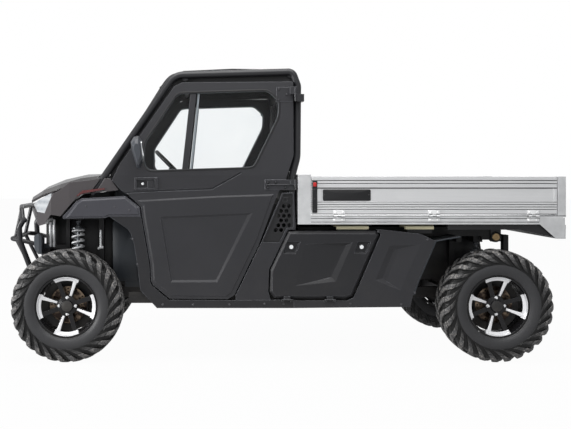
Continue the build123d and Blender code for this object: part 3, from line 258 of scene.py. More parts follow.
# painted light and shade: the fenders' copy is lighter and greyer than the doors' for their lit top facets,
# the sills' and lids' copy darker as painted shade low down
charcoal = charcoal_plastic("charcoal_panel", (0.021, 0.021, 0.024), (0.014, 0.014, 0.016), 0.46, 0.22,
                            (0.20, 0.205, 0.225))
charcoal_lit = charcoal_plastic("charcoal_fender_lit", (0.042, 0.042, 0.050), (0.031, 0.031, 0.037), 0.42, 0.2,
                                 (0.22, 0.225, 0.25))
charcoal_shaded = charcoal_plastic("charcoal_sill_shaded", (0.0125, 0.0125, 0.0145), (0.0085, 0.0085, 0.010), 0.46,
                                 0.22, (0.20, 0.205, 0.225))
vent_black = finish("vent_black", (0.008, 0.008, 0.009), (0.012, 0.012, 0.013), 0.5,
                    edge_colour=(0.08, 0.08, 0.09))
liner = finish("arch_liner", (0.036, 0.042, 0.050), (0.022, 0.026, 0.031), 0.45,
               edge_colour=(0.12, 0.13, 0.15), dust_amount=0.15)
dress(charcoal, "door_left", "door_right", "quarter_panels", "rear_panels")
dress(charcoal_lit, "fenders")
dress(charcoal_shaded, "lid_left", "lid_right", "sills")
dress(vent_black, "side_vents", "storage_bins")
dress(liner, "cab_tub", "rear_liners", "bumper_corners", "dashboard")


# ---------------------------------------------------------------- tyres
# Mud tyres: a smooth sidewall, and two staggered rows of long lugs that sweep from the crown over the
# shoulder on to the sidewall. Moulded rubber, dusty on the lug tops.
def grid(points, wrap_rows, wrap_columns):
    """Quads between the neighbours of a grid of points; a wrapped direction joins its two end lines."""
    rows, columns = points.shape[:2]
    i = np.arange(rows if wrap_rows else rows - 1)[:, None]
    j = np.arange(columns if wrap_columns else columns - 1)[None, :]
    ni, nj = (i + 1) % rows, (j + 1) % columns
    faces = np.stack([i * columns + j, i * columns + nj, ni * columns + nj, ni * columns + j], -1)
    return points.reshape(-1, 3), faces.reshape(-1, 4)


def piece(name, parts, material, body, sharp=38, rise=None):
    """One mesh out of (points, faces) parts, its doubles merged and faces turned outwards, riding on a body.
    rise, if given, is kept at the points as an attribute that the material reads."""
    starts = np.cumsum([0] + [len(points) for points, _ in parts])
    points = np.concatenate([p for p, _ in parts]).astype(np.float32)
    faces = np.concatenate([f + start for (_, f), start in zip(parts, starts)]).astype(np.int32)
    mesh = bpy.data.meshes.new(name)
    mesh.vertices.add(len(points))
    mesh.vertices.foreach_set("co", points.ravel())
    mesh.loops.add(faces.size)
    mesh.loops.foreach_set("vertex_index", faces.ravel())
    mesh.polygons.add(len(faces))
    mesh.polygons.foreach_set("loop_start", np.arange(0, faces.size, 4, dtype=np.int32))
    mesh.update(calc_edges=True)
    if rise is not None:
        mesh.attributes.new("rise", "FLOAT", "POINT").data.foreach_set("value", rise.astype(np.float32))
    shell = bmesh.new()
    shell.from_mesh(mesh)
    bmesh.ops.remove_doubles(shell, verts=shell.verts, dist=2e-6)
    bmesh.ops.recalc_face_normals(shell, faces=shell.faces)
    shell.to_mesh(mesh)
    shell.free()
    mesh.polygons.foreach_set("use_smooth", np.ones(len(mesh.polygons), bool))
    mesh.set_sharp_from_angle(angle=math.radians(sharp))
    made = bpy.data.objects.new(name, mesh)
    bpy.context.scene.collection.objects.link(made)
    mesh.materials.append(material)
    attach(made, body)
    return made


# across the half section, crown to bead: distance from the middle, radius, lug height, sweep in degrees
half_section = np.array([(0, 340, 0, 0), (4, 340, 0, .5), (7, 340, 13, 1), (12, 340, 15, 1.6),
                         (30, 339.6, 15, 4), (43, 339, 15, 6), (46, 339, 6, 6.4), (50, 338.5, 6, 6.9),
                         (53, 338, 15.5, 7.3), (70, 336.5, 16, 9), (86, 333, 17, 11), (98, 326, 17, 12.2),
                         (105, 317, 16, 13.8), (109.5, 306, 14, 16), (112.5, 294, 12, 18.8),
                         (114.5, 282, 9.5, 22.2), (115.5, 273, 7.5, 26), (116, 268, 5.5, 28.5),
                         (116.2, 265, 1, 30.5), (117, 262, 0, 31), (119, 256, 0, 31), (120.5, 246, 0, 31),
                         (120, 234, 0, 31), (117, 221, 0, 31), (111, 209, 0, 31), (107, 204, 0, 31),
                         (106, 201, 0, 31), (102, 197.5, 0, 31)])
# along one pitch: share of the pitch, share of the lug's height
lug_steps = np.array([(0, 0), (.2, 0), (.43, .02), (.455, .45), (.48, .9), (.51, 1), (.60, 1.012),
                      (.70, 1.018), (.80, 1.012), (.9, 1), (.94, .9), (.97, .45)])
lug_number = 27
# metres: the axles' height, half the wheelbase, the middle between the axles, and half the track
axle_height, half_base, base_middle, half_track = 0.355, 1.355, -0.010, 0.65


def tyre_surface(axle_x, hand):
    """The half section is read at finer steps and mirrored; every point moves out along the section's normal
    by lug height times a flat-topped pulse, and round the wheel by the sweep, so lines run along the lugs."""
    steps = np.linspace(0, len(half_section) - 1, (len(half_section) - 1) * 2 + 1)
    y, r, lug, sweep = (np.interp(steps, np.arange(len(half_section)), column) for column in half_section.T)
    side = np.gradient(y), np.gradient(r)
    long = np.hypot(*side)
    out_y, out_r = -side[1] / long, side[0] / long
    y, out_y = np.concatenate([y, -y[::-1]]), np.concatenate([out_y, -out_y[::-1]])
    r, out_r, lug, sweep = (np.concatenate([v, v[::-1]]) for v in (r, out_r, lug, sweep))
    half = len(y) // 2
    pitch = 2 * math.pi / lug_number
    turns = ((np.arange(lug_number)[:, None] + lug_steps[None, :, 0]) * pitch).ravel()
    pulse = np.tile(lug_steps[:, 1], lug_number)
    which = np.repeat(np.arange(lug_number), len(lug_steps))
    stagger = np.where(np.arange(len(y)) < half, 0.0, 0.5 * pitch)
    short = (which[None, :] % 3 == 1) & (r[:, None] < 276)
    cut = np.clip(np.abs(np.sin(sweep * 0.55)) * 5.0, 0.62, 1.0)[:, None]
    rise = lug[:, None] * pulse[None, :] * np.where(short, 0.25, 1.0) * np.where(r[:, None] > 270, cut, 1.0)
    angle = turns[None, :] + np.radians(sweep)[:, None] + stagger[:, None]
    radius = r[:, None] + out_r[:, None] * rise
    across = y[:, None] + out_y[:, None] * rise
    place = np.stack([axle_x + radius / 1000 * np.cos(angle), hand * (half_track + across / 1000),
                      axle_height + radius / 1000 * np.sin(angle)], -1)
    return grid(place, True, True), np.where(lug[:, None] > 0.5, rise / 15, 0.95).ravel()


def axle_distance(tree):
    """The place, its x, y and z, and its distance from the nearer axle: front and rear are folded together."""
    place, xyz = spot(tree)
    along = calc(tree, "ABSOLUTE", calc(tree, "SUBTRACT", xyz["X"], base_middle))
    past = calc(tree, "SUBTRACT", along, half_base)
    up = calc(tree, "SUBTRACT", xyz["Z"], axle_height)
    reach = add(tree, "CombineXYZ", [(0, past), (1, up)]).outputs[0]
    return place, xyz, add(tree, "VectorMath", [(0, reach)], operation="LENGTH").outputs["Value"]


def shader_input(tree, label):
    """The Principled shader's input and the output that feeds it now."""
    held = tree.nodes["Principled BSDF"].inputs[label]
    return held, held.links[0].from_socket if held.links else None


def repaint(tree, share, colour):
    """Mixes another colour over what the shader shows so far."""
    held, before = shader_input(tree, "Base Color")
    tree.links.new(colour_mix(tree, share, before, colour), held)


rubber = finish("tyre_rubber", (0.034, 0.034, 0.036), (0.026, 0.026, 0.027), 0.46, patch_scale=6.0,
                grain_scale=300.0, grain_depth=0.35, edge_colour=(0.20, 0.185, 0.17), edge_amount=0.9,
                edge_radius=0.0035, dust_colour=(0.22, 0.19, 0.16), dust_amount=0.0)
# wear and a painted highlight lighten the rubber with distance from the axle, and dried mud grows there too,
# so they stay on the lugs as the wheel turns
tree = rubber.node_tree
place, xyz, radius = axle_distance(tree)
outer = span(tree, radius, 0.268, 0.335)
clods = span(tree, noise(tree, place, 85.0, 4.0, 0.7), 0.52, 0.60, to_high=0.75)
# the lug tops are lighter: partly worn rubber, partly a painted highlight
repaint(tree, outer, (0.080, 0.079, 0.080))
repaint(tree, calc(tree, "MULTIPLY", outer, clods), (0.30, 0.28, 0.26))
# painted shade: the grooves between the lugs are darkened to near black
lifted = add(tree, "Attribute", attribute_name="rise").outputs["Fac"]
repaint(tree, span(tree, lifted, 0.92, 0.45), (0.004, 0.004, 0.004))
# the lugs' faces are knobbly, the sidewall is smooth
knobs = add(tree, "TexVoronoi", [("Vector", place), ("Scale", 62.0), ("Randomness", 0.9)]).outputs["Distance"]
held, smooth = shader_input(tree, "Normal")
pitted = add(tree, "Bump", [("Strength", 0.8), ("Distance", 0.006),
                            ("Height", calc(tree, "MULTIPLY", knobs, outer)), ("Normal", smooth)])
tree.links.new(pitted.outputs[0], held)

# each wheel's axle x, and 1 on the left or -1 on the right
wheels = {"front_left": (1.345, 1), "front_right": (1.345, -1), "rear_left": (-1.365, 1),
          "rear_right": (-1.365, -1)}
for name, (axle_x, hand) in wheels.items():
    surface, lift = tyre_surface(axle_x, hand)
    tyre = piece("tread_" + name, [surface], rubber, "wheel_" + name, sharp=32, rise=lift)
    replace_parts(tyre, "tyre_" + name)


# ---------------------------------------------------------------- rims
# Cast alloy rims in gloss black: four machined bright arcs at the lip, each running into one bright spoke,
# a bare cap, four plated nuts, and a drilled rusty brake disc behind.
def carried(profile, centres, across, up, closed=False):
    """A closed profile of (a, b) points carried along stations: centre plus a times across plus b times up.
    Open ends are capped by a ring drawn in to the profile's middle."""
    profile, centres, across, up = (np.asarray(v, float) for v in (profile, centres, across, up))
    rings = centres[:, None] + profile[None, :, :1] * across[:, None] + profile[None, :, 1:] * up[:, None]
    if not closed:
        first, last = (np.repeat(rings[k].mean(0)[None, None], len(profile), 1) for k in (0, -1))
        rings = np.concatenate([first, rings, last])
    return grid(rings, closed, True)


def turned(profile, centre, axis, count=24):
    """A profile of (radius, height) points turned round an axis: centre plus height along the axis plus
    radius times the cosine and sine of the turn in the two directions square to it."""
    profile, axis = np.asarray(profile, float), np.asarray(axis, float) / np.linalg.norm(axis)
    first = np.cross(axis, (0.0, 0.0, 1.0) if abs(axis[2]) < 0.9 else (1.0, 0.0, 0.0))
    first /= np.linalg.norm(first)
    second = np.cross(axis, first)
    turn = np.linspace(0, 2 * math.pi, count, endpoint=False)[None, :, None]
    ring = np.cos(turn) * first + np.sin(turn) * second
    height, radius = profile[:, 1, None, None], profile[:, 0, None, None]
    return grid(np.asarray(centre, float) + height * axis + radius * ring, False, True)


gloss_black = finish("rim_black", (0.004, 0.004, 0.005), (0.007, 0.007, 0.008), 0.25, coat=0.05, specular=0.3,
                     edge_colour=(0.2, 0.2, 0.2), edge_amount=0.35, edge_radius=0.002,
                     dust_colour=(0.06, 0.05, 0.04), dust_amount=0.1)
# the brake disc is part of the rim's node: rusty bare metal where the depth and the distance are the disc's
tree = gloss_black.node_tree
place, xyz, radius = axle_distance(tree)
disc_radius, disc_half_thick = 0.125, 0.0042
inside = calc(tree, "COMPARE", calc(tree, "ABSOLUTE", xyz["Y"]), half_track, disc_half_thick)
on_disc = calc(tree, "MULTIPLY", inside, calc(tree, "LESS_THAN", radius, disc_radius))
bronze = add(tree, "ValToRGB", [(0, noise(tree, place, 22.0, 5.0))])
dark, bright = bronze.color_ramp.elements
dark.position, dark.color = 0.47, (0.022, 0.013, 0.009, 1)
bright.position, bright.color = 0.66, (0.27, 0.20, 0.14, 1)
repaint(tree, on_disc, bronze.outputs[0])
tree.links.new(calc(tree, "MULTIPLY", on_disc, 0.6), shader_input(tree, "Metallic")[0])
tree.links.new(calc(tree, "MULTIPLY_ADD", on_disc, -0.05, 0.05), shader_input(tree, "Coat Weight")[0])
dress(gloss_black, *("rim_" + name for name in wheels))

machined = finish("machined_alloy", (0.86, 0.86, 0.87), (0.70, 0.70, 0.72), 0.34, metallic=0.45,
                  patch_scale=14.0, grain_scale=900.0, grain_depth=0.08, edge_colour=(0.8, 0.8, 0.8),
                  edge_radius=0.001, dust_amount=0.06)
plated = finish("plated_steel", (0.88, 0.89, 0.90), (0.70, 0.71, 0.73), 0.26, metallic=0.3, patch_scale=30.0,
                edge_colour=(0.8, 0.8, 0.8), edge_radius=0.0008, dust_amount=0.1)
satin_black = finish("satin_black", (0.008, 0.008, 0.009), (0.013, 0.013, 0.014), 0.42,
                     edge_colour=(0.09, 0.09, 0.10), edge_radius=0.0015, dust_amount=0.2)
arc_profile = np.array([(162, 70), (162, 78.7), (163.4, 79.8), (175.6, 82.6), (176.6, 85), (182.2, 100.4),
                        (184.8, 100.9), (186, 99.6), (179, 84), (178, 70)]) / 1000
plate_profile = np.array([(-1, -1), (-1, .5), (-.9, 1), (.9, 1), (1, .5), (1, -1)])
nut_profile = np.array([(0, 15), (5, 15), (8, 12), (9, 8), (9, 0), (12, 0), (12, -4)]) / 1000
cap_profile = np.array([(0, 3.4), (16, 3.2), (24, 2.4), (27, .8), (29, 1.4), (32, 1.2), (34, 0),
                        (34, -3)]) / 1000
shield_profile = np.array([(34, -28.5), (160, -28.5), (168, -24), (168, -26), (160, -30.5), (34, -30.5),
                           (34, -28.5)]) / 1000
spoke_reach = np.array((66, 80, 100, 125, 145, 158, 166.0))
spoke_wide = np.array((6.5, 7.2, 8.2, 9.5, 10.8, 12.2, 15)) / 1000
# the spoke's face rises quickly near the cap and slowly from 80 mm on
spoke_face = np.where(spoke_reach < 80, 44 + (spoke_reach - 36) * 16 / 44,
                      60 + 0.22 * (spoke_reach - 80)) + 0.6
knuckles = {"front_left": "knuckle_left", "front_right": "knuckle_right"}
arc_reach, spoke_turn, nut_circle = 25.5, 19, 0.051
for name, (axle_x, hand) in wheels.items():
    wheel = "wheel_" + name
    middle, out = np.array((axle_x, hand * half_track, axle_height)), np.array((0.0, hand, 0.0))
    bright = []
    for quarter in range(4):
        arc = np.radians(np.linspace(-arc_reach, arc_reach, 25) + 90 * quarter)
        ray = np.stack([np.cos(arc), 0 * arc, np.sin(arc)], -1)
        bright.append(carried(arc_profile, np.repeat(middle[None], 25, 0), ray, np.repeat(out[None], 25, 0)))
        turn = math.radians(90 * quarter + spoke_turn)
        ray = np.array((math.cos(turn), 0, math.sin(turn)))
        tangent = np.array((-math.sin(turn), 0, math.cos(turn)))
        centres = middle + ray * spoke_reach[:, None] / 1000 + out * spoke_face[:, None] / 1000
        bright.append(carried(plate_profile, centres, tangent * spoke_wide[:, None],
                              np.repeat(out[None] * 0.0012, 7, 0)))
    piece("bright_arcs_" + name, bright, machined, wheel)
    rays = [np.array((math.cos(a), 0, math.sin(a))) for a in np.radians((0, 90, 180, 270))]
    nuts = [turned(nut_profile, middle + out * 0.057 + nut_circle * ray, out, 6) for ray in rays]
    piece("wheel_nuts_" + name, nuts, plated, wheel)
    # a pressed steel splash shield behind the disc, open at the stub, held to the knuckle
    shield = [turned(shield_profile, middle, out, 48)]
    piece("splash_shield_" + name, shield, satin_black, knuckles.get(name, "root"))
    piece("hub_cap_" + name, [turned(cap_profile, middle + out * 0.0765, out, 40)], satin_black, wheel)


# ---------------------------------------------------------------- suspension, springs and chassis
# Welded steel arms and shafts in chassis black; each damper is a grey oil tube with an eye at both ends inside
# a coil spring whose near-white colour is a painted highlight, bolted between its brackets.
def bar(start, end, radius, count=14):
    """A straight round bar with slightly rounded ends, turned about the line between two points."""
    start, end = np.asarray(start, float), np.asarray(end, float)
    length, soft = np.linalg.norm(end - start), min(radius * 0.25, 0.002)
    profile = [(0, 0), (radius - soft, 0), (radius, soft), (radius, length - soft), (radius - soft, length),
               (0, length)]
    return turned(profile, start, end - start, count)


chassis_black = finish("chassis_black", (0.008, 0.008, 0.009), (0.014, 0.014, 0.014), 0.42, grain_scale=240.0,
                       edge_colour=(0.09, 0.09, 0.1), edge_radius=0.002, dust_colour=(0.12, 0.10, 0.085),
                       dust_amount=0.3)
dress(chassis_black, "chassis_frame", "front_arms", "rear_suspension", "steering_rack", "knuckle_left",
      "knuckle_right")
cast_metal = finish("cast_metal", (0.06, 0.06, 0.06), (0.035, 0.035, 0.035), 0.5, metallic=0.5,
                    grain_scale=160.0, grain_depth=0.4, edge_colour=(0.2, 0.2, 0.2), dust_amount=0.25)
dress(cast_metal, "engine_block", "drive_line")

# painted highlight: the spring is coloured near white for the highlights along its wire
spring_painted_highlight = finish("spring_painted_highlight", (0.90, 0.91, 0.93), (0.78, 0.79, 0.81), 0.24, metallic=0.2, coat=0.8,
                      edge_radius=0.001, dust_amount=0.12)
coils, tubes = [], []
coil_radius, wire_radius, coil_turns = 0.038, 0.0068, 7.5
ring = np.linspace(0, 2 * math.pi, 8, endpoint=False)
wire = np.stack([np.cos(ring), np.sin(ring)], -1) * wire_radius
eye_ring = [(0, -.015), (.008, -.015), (.008, -.0155), (.013, -.0135), (.013, .0135), (.008, .0155),
            (0, .0155)]
for x, head_z in ((1.315, 0.871), (-1.335, 0.725)):
    for hand in (1, -1):
        foot, head = np.array((x, hand * 0.439, 0.327)), np.array((x, hand * 0.375, head_z))
        length = np.linalg.norm(head - foot)
        way = (head - foot) / length
        ahead = np.array((1.0, 0, 0))
        beside = np.cross(way, ahead)
        low, high = length * 0.38, length - 0.050
        # the wire: a helix whose pitch closes up over the last half turn at each end
        turn = np.linspace(0, coil_turns * 2 * math.pi, 210)
        part = np.interp(turn / turn[-1], (0, 0.06, 0.94, 1), (0.0, 0.02, 0.98, 1.0))
        outward = np.cos(turn)[:, None] * ahead + np.sin(turn)[:, None] * beside
        centres = foot + way * (low + 0.007 + part * (high - low - 0.014))[:, None] + coil_radius * outward
        coils.append(carried(wire, centres, outward, np.repeat(way[None], len(turn), 0)))
        # the damper: an eye, the rod, the lower seat, the tube inside the spring, the upper seat, an eye
        body = [(0, .006), (.010, .006), (.010, .03), (.020, .036), (.024, .042), (.024, low - .010),
                (.044, low - .006), (.046, low), (.026, low + .001), (.026, low + .09), (.012, low + .094),
                (.012, high - .001), (.046, high), (.046, high + .006), (.022, high + .012),
                (.018, length - .028), (.009, length - .024), (.009, length - .008), (0, length - .008)]
        tubes.append(turned(body, foot, way, 28))
        tubes += [turned(eye_ring, eye, ahead, 20) for eye in (foot, head)]
damper_grey = finish("damper_grey", (0.10, 0.11, 0.12), (0.07, 0.07, 0.08), 0.32, metallic=0.4, coat=0.4,
                     dust_amount=0.2)
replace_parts(piece("damper_tubes", tubes, damper_grey, "root"), "dampers")
piece("spring_coils", coils, spring_painted_highlight, "root")

# bright nose stays and link plates that show through the front arches
bright = []
for hand in (1, -1):
    for x, top in ((1.482, 0.884), (1.506, 0.875)):
        bright.append(bar((x, hand * 0.3535, 0.700), (x, hand * 0.3535, top), 0.0095))
    bright.append(bar((1.168, hand * 0.354, 0.70), (1.168, hand * 0.354, 0.815), 0.0085))
    bright.append(bar((1.190, hand * 0.354, 0.69), (1.150, hand * 0.354, 0.70), 0.009))
piece("nose_stays", bright, plated, "root")


# ---------------------------------------------------------------- cab frame, roof and bull bar
# Bent steel tube in a satin dark grey powder coat; the roof is one moulded sheet over it.
tube_grey = finish("tube_grey", (0.017, 0.017, 0.019), (0.012, 0.012, 0.014), 0.34, coat=0.12,
                   grain_scale=800.0, edge_colour=(0.12, 0.12, 0.13), edge_radius=0.002, dust_amount=0.05)
dress(tube_grey, "cab_frame", "bull_bar", "rear_wall")
dress(finish("roof_black", (0.010, 0.010, 0.012), (0.015, 0.015, 0.017), 0.4, edge_colour=(0.12, 0.12, 0.13)),
      "roof_panel")


def screws(places, out, radius, height, count=6):
    """Fasteners with a chamfered head at each place, turned about the same outward direction."""
    head = [(0, height), (radius * 0.7, height), (radius * 0.95, height * 0.7), (radius, 0),
            (radius * 1.35, 0), (radius * 1.35, -0.002)]
    return [turned(head, place, out, count) for place in places]


dark_steel = finish("dark_fasteners", (0.05, 0.05, 0.055), (0.08, 0.08, 0.085), 0.35, metallic=0.5,
                    edge_radius=0.0008, edge_colour=(0.35, 0.35, 0.36), dust_amount=0.1)


# ---------------------------------------------------------------- glass and its seals
# Flat tempered panes, faintly tinted; each door pane sits in a black rubber seal, with a slim bright
# sliding frame behind the divider.
def glazing(name, tint, roughness):
    """Clear tinted glass with a faint film of dust that only dulls its gloss."""
    made, tree = bare_material(name)
    film = noise(tree, spot(tree)[0], 5.0, 5.0)
    gloss = span(tree, film, 0.45, 0.8, roughness, roughness + 0.05)
    tone = colour_mix(tree, film, tint, (tint[0] * 0.93, tint[1] * 0.94, tint[2] * 0.95))
    principled(tree, [("Base Color", tone), ("Roughness", gloss),
                      ("Transmission Weight", 1.0), ("IOR", 1.2)])
    return made


clear_glass = glazing("tinted_glass", (0.975, 0.985, 0.985), 0.015)
dress(clear_glass, "windscreen", "rear_glass", "door_glass_left", "door_glass_right")


belt_height, lean = 1.18, 35 / 620


def leaned(y, z):
    """The cab's side leans inwards above the belt: y less a fixed share of the height over it."""
    return y - np.maximum(0.0, np.asarray(z) - belt_height) * lean


def rounded(corners, radius, steps=6):
    """An outline whose corners are cut by quadratic curves that start one radius before each corner."""
    corner = np.asarray(corners, float)
    back, on = np.roll(corner, 1, 0) - corner, np.roll(corner, -1, 0) - corner
    near = [v * np.minimum(radius / np.linalg.norm(v, axis=1), 0.45)[:, None] for v in (back, on)]
    t = np.linspace(0, 1, steps)[None, :, None]
    start, end = (corner + near[0])[:, None], (corner + near[1])[:, None]
    return ((1 - t) ** 2 * start + 2 * t * (1 - t) * corner[:, None] + t ** 2 * end).reshape(-1, 2)


def outline_strip(outline, y, profile):
    """A closed profile carried round an (x, z) outline on a leaning cab side: across points out of the
    outline in its own plane, up points out of the vehicle."""
    tangent = np.roll(outline, -1, 0) - np.roll(outline, 1, 0)
    tangent /= np.linalg.norm(tangent, axis=1)[:, None]
    centres = np.stack([outline[:, 0], leaned(y, outline[:, 1]), outline[:, 1]], -1)
    across = np.stack([tangent[:, 1], 0 * tangent[:, 0], -tangent[:, 0]], -1)
    return carried(profile, centres, across, np.repeat([[0, 1.0, 0]], len(centres), 0), closed=True)


def mirrored(parts):
    """The same parts on the vehicle's other side: y changes sign."""
    return [(points * (1, -1, 1), faces) for points, faces in parts]


def pair(label, parts, material, body, sharp=38):
    """The parts as a piece on the left and, mirrored, one on the right; a body ending in _ has two as well."""
    return [piece(label + side, held, material, body + side if body.endswith("_") else body, sharp)
            for side, held in (("left", parts), ("right", mirrored(parts)))]


def rectangle(low_x, high_x, low_z, high_z):
    """The four corners of an upright rectangle."""
    return [(low_x, low_z), (high_x, low_z), (high_x, high_z), (low_x, high_z)]


window = np.array([(4, 1652), (7, 1549), (161, 1236), (191, 1226), (831, 1206), (861, 1244), (861, 1380),
                   (655, 1692), (620, 1702), (77, 1718)]) / 1000
window_line = rounded(window, 0.030)
rubber_seal = finish("rubber_seal", (0.010, 0.010, 0.011), (0.016, 0.016, 0.017), 0.55, edge_radius=0.001,
                     edge_colour=(0.08, 0.08, 0.08))
pane_frame = finish("pane_frame", (0.26, 0.29, 0.31), (0.20, 0.22, 0.24), 0.35, metallic=0.4,
                    edge_radius=0.001)
seal_profile = np.array([(-6, -14), (-6, 1), (-4, 3), (4, 3), (7, .5), (7, -14)]) / 1000
bead_profile = np.array([(-7, -1.5), (-7, 1), (0, 1.5), (0, -1.5)]) / 1000
slide_profile = np.array([(-6, -3), (-6, 3), (6, 3), (6, -3)]) / 1000
pane_y = 0.7165
slide_x, slide_z = np.array((0.562, 0.513)), np.array((1.216, 1.696))
slide_line = np.stack([slide_x, leaned(pane_y, slide_z), slide_z], -1)
seal = [outline_strip(window_line, 0.735, seal_profile)]
slide = [carried(slide_profile, slide_line, [(1.0, 0, 0)] * 2, [(0, 1.0, 0)] * 2),
         outline_strip(window_line, pane_y, bead_profile)]


# ---------------------------------------------------------------- doors
# Two-skin moulded doors; hinge leaves are bolted through, the handle has a plated key lock, and the mirror
# has a silvered glass in a faceted black shell.
lock_profile = np.array([(0, 1.2), (2.4, 1.2), (2.6, 2.0), (6.4, 2.0), (7.6, 1.2), (8.2, 0), (8.2, -2)]) / 1000
outwards = (0.0, 1.0, 0.0)
lower_leaf, upper_leaf, latch_plate = (
    [(0.080, 0.739, 1.136), (0.080, 0.739, 1.104), (0.030, 0.739, 1.136), (-0.030, 0.739, 1.104)],
    [(0.010, 0.7125, 1.722), (0.010, 0.7125, 1.658), (-0.042, 0.7125, 1.690)],
    [(0.782, 0.744, 1.158), (0.906, 0.744, 1.158), (0.906, 0.744, 1.096)])
bolts = screws(lower_leaf + upper_leaf, outwards, 0.0068, 0.0055)
bolts += screws(latch_plate, outwards, 0.004, 0.0025)
pair("hinge_bolts_", bolts, dark_steel, "door_")
pair("hinge_ribs_", [bar((-0.070, 0.7395, 1.120), (0.090, 0.7395, 1.120), 0.0055, 10)], charcoal, "door_")
pair("door_keys_", [turned(lock_profile, (0.866, 0.7395, 1.126), outwards, 24)], plated, "door_")
pair("window_seal_", seal, rubber_seal, "door_")
pair("slide_frame_", slide, pane_frame, "door_")

mirror_shell = finish("mirror_shell", (0.040, 0.044, 0.052), (0.024, 0.026, 0.031), 0.36, coat=0.2,
                      edge_colour=(0.16, 0.17, 0.19), edge_amount=0.9, edge_radius=0.004)
silvered = finish("silvered_glass", (0.85, 0.87, 0.88), (0.82, 0.84, 0.86), 0.03, metallic=1.0,
                  roughness_spread=0.01, edge_radius=0.0005, edge_amount=0.0, grain_depth=0.0, dust_amount=0.0)
shell_outline = np.array([(0.913, 1.417), (0.886, 1.422), (0.868, 1.396), (0.862, 1.345), (0.856, 1.294),
                          (0.860, 1.262), (0.878, 1.223), (0.894, 1.225), (0.913, 1.284), (0.928, 1.335),
                          (0.933, 1.386)])
shell_middle = shell_outline.mean(0)
levels = np.array([(0.778, 0.80), (0.796, 1.0), (0.858, 1.0), (0.888, 0.80), (0.901, 0.50)])
shell = [carried(shell_outline - shell_middle, [(shell_middle[0], y, shell_middle[1]) for y in levels[:, 0]],
                 levels[:, 1:] * (1.0, 0, 0), levels[:, 1:] * (0, 0, 1.0))]
shell.append(bar((0.900, 0.7275, 1.330), (0.900, 0.790, 1.330), 0.011))
shell.append(bar((0.900, 0.727, 1.330), (0.900, 0.731, 1.330), 0.019))
# the glass stands in the case's rear face, turned a little inwards
glass_outline = rounded(rectangle(0.800, 0.870, 1.298, 1.390), 0.016)
glass = [carried(glass_outline - glass_outline.mean(0), [(0.8655, 0.835, 1.344), (0.8613, 0.835, 1.344)],
                 [(0, 1.0, 0)] * 2, [(0.117, 0, 0.993)] * 2)]
for case, side in zip(pair("mirror_case_", shell, mirror_shell, "door_", sharp=15),
                      ("left", "right")):
    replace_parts(case, "mirror_" + side)
pair("mirror_glass_", glass, silvered, "door_")


# ---------------------------------------------------------------- weather strips and inner arch panels
# Black rubber strips clipped inside the tube frame close the gap round each door, their black partly painted
# shade for that gap; flat black panels close the arches' inner sides and the gaps behind the sills, partly
# liners and partly painted shade where those gaps show dark, and a lighter shield covers the footwell's side.
frame_line = np.array([(1084, 1150), (688, 1780), (640, 1800), (-60, 1812), (-78, 1740), (-72, 1300),
                       (-44, 1180)]) / 1000
smooth_line = rounded(frame_line, 0.060, 5)[3:-3]
way = np.gradient(smooth_line, axis=0)
way /= np.linalg.norm(way, axis=1)[:, None]
strip_across = np.stack([way[:, 1], 0 * way[:, 0], -way[:, 0]], -1)
strip_profile = np.array([(-40, -2), (-40, 2), (-34, 3), (34, 3), (40, 2), (40, -2)]) / 1000
strip_line = np.stack([smooth_line[:, 0], leaned(0.668, smooth_line[:, 1]), smooth_line[:, 1]], -1)
strips = [carried(strip_profile, strip_line, strip_across, np.repeat([[0, 1.0, 0]], len(smooth_line), 0))]
# painted shade in part: the strips' black also stands for the shade in the door gaps
piece("weather_strips", strips + mirrored(strips), rubber_seal, "root")


def raised(shape, middle, steps):
    """A flat (x, z) shape stood out of the side: at each step a y and the shares of its width and height."""
    x, z = middle
    return carried(shape, [(x, y, z) for y, _, _ in steps], [(k, 0, 0) for _, k, _ in steps],
                   [(0, 0, k) for _, _, k in steps])


def sheet_panel(outline, y, thick=0.003):
    """A flat panel: one (x, z) outline carried a short way across, its rim eased by a smaller last ring."""
    flat = np.asarray(outline, float)
    middle = flat.mean(0)
    return raised(flat - middle, middle, ((y - thick, 1.0, 1.0), (y - 0.0006, 1.0, 1.0), (y, 0.995, 0.995)))


# painted shade in part: these black sheets close gaps that would show the backdrop where the vehicle is dark
# with shade
arch_panels = [sheet_panel([(1.086, 0.505), (1.500, 0.505), (1.545, 0.700), (1.545, 0.900), (1.300, 0.925),
                            (1.086, 0.880)], 0.284),
               sheet_panel([(1.100, 0.955), (1.235, 0.955), (1.215, 1.060), (1.100, 1.075)], 0.500),
               sheet_panel([(1.042, 1.120), (1.095, 1.120), (1.100, 1.165), (1.075, 1.192),
                            (1.042, 1.198)], 0.560),
               sheet_panel(rectangle(-0.600, 0.960, 0.366, 0.436), 0.655),
               sheet_panel(rectangle(0.020, 0.150, 0.820, 1.000), 0.655),
               sheet_panel([(-1.430, 0.500), (-0.930, 0.470), (-0.905, 0.800), (-1.380, 0.800)], 0.284)]
shields = [sheet_panel([(0.925, 0.470), (1.050, 0.470), (1.088, 0.520), (1.092, 0.860), (1.060, 0.895),
                        (0.960, 0.845), (0.935, 0.800)], 0.3345)]
piece("inner_arch_and_shade_panels", arch_panels + mirrored(arch_panels), satin_black, "root")
piece("footwell_shields", shields + mirrored(shields), liner, "root")


# ---------------------------------------------------------------- hood, nose and lamps
# Painted mouldings in a deep brown-black gloss; headlamps are clear lenses over pale reflectors, and the
# markers are ribbed red lenses.
def gloss_paint(name, base, second, roughness, coat):
    """One copy of the painted mouldings' gloss; the nose's copy is lighter, as painted light."""
    return finish(name, base, second, roughness, coat=coat, patch_scale=1.6, grain_depth=0.03,
                  edge_colour=(0.12, 0.115, 0.12), edge_amount=0.8, edge_radius=0.005, dust_amount=0.03)


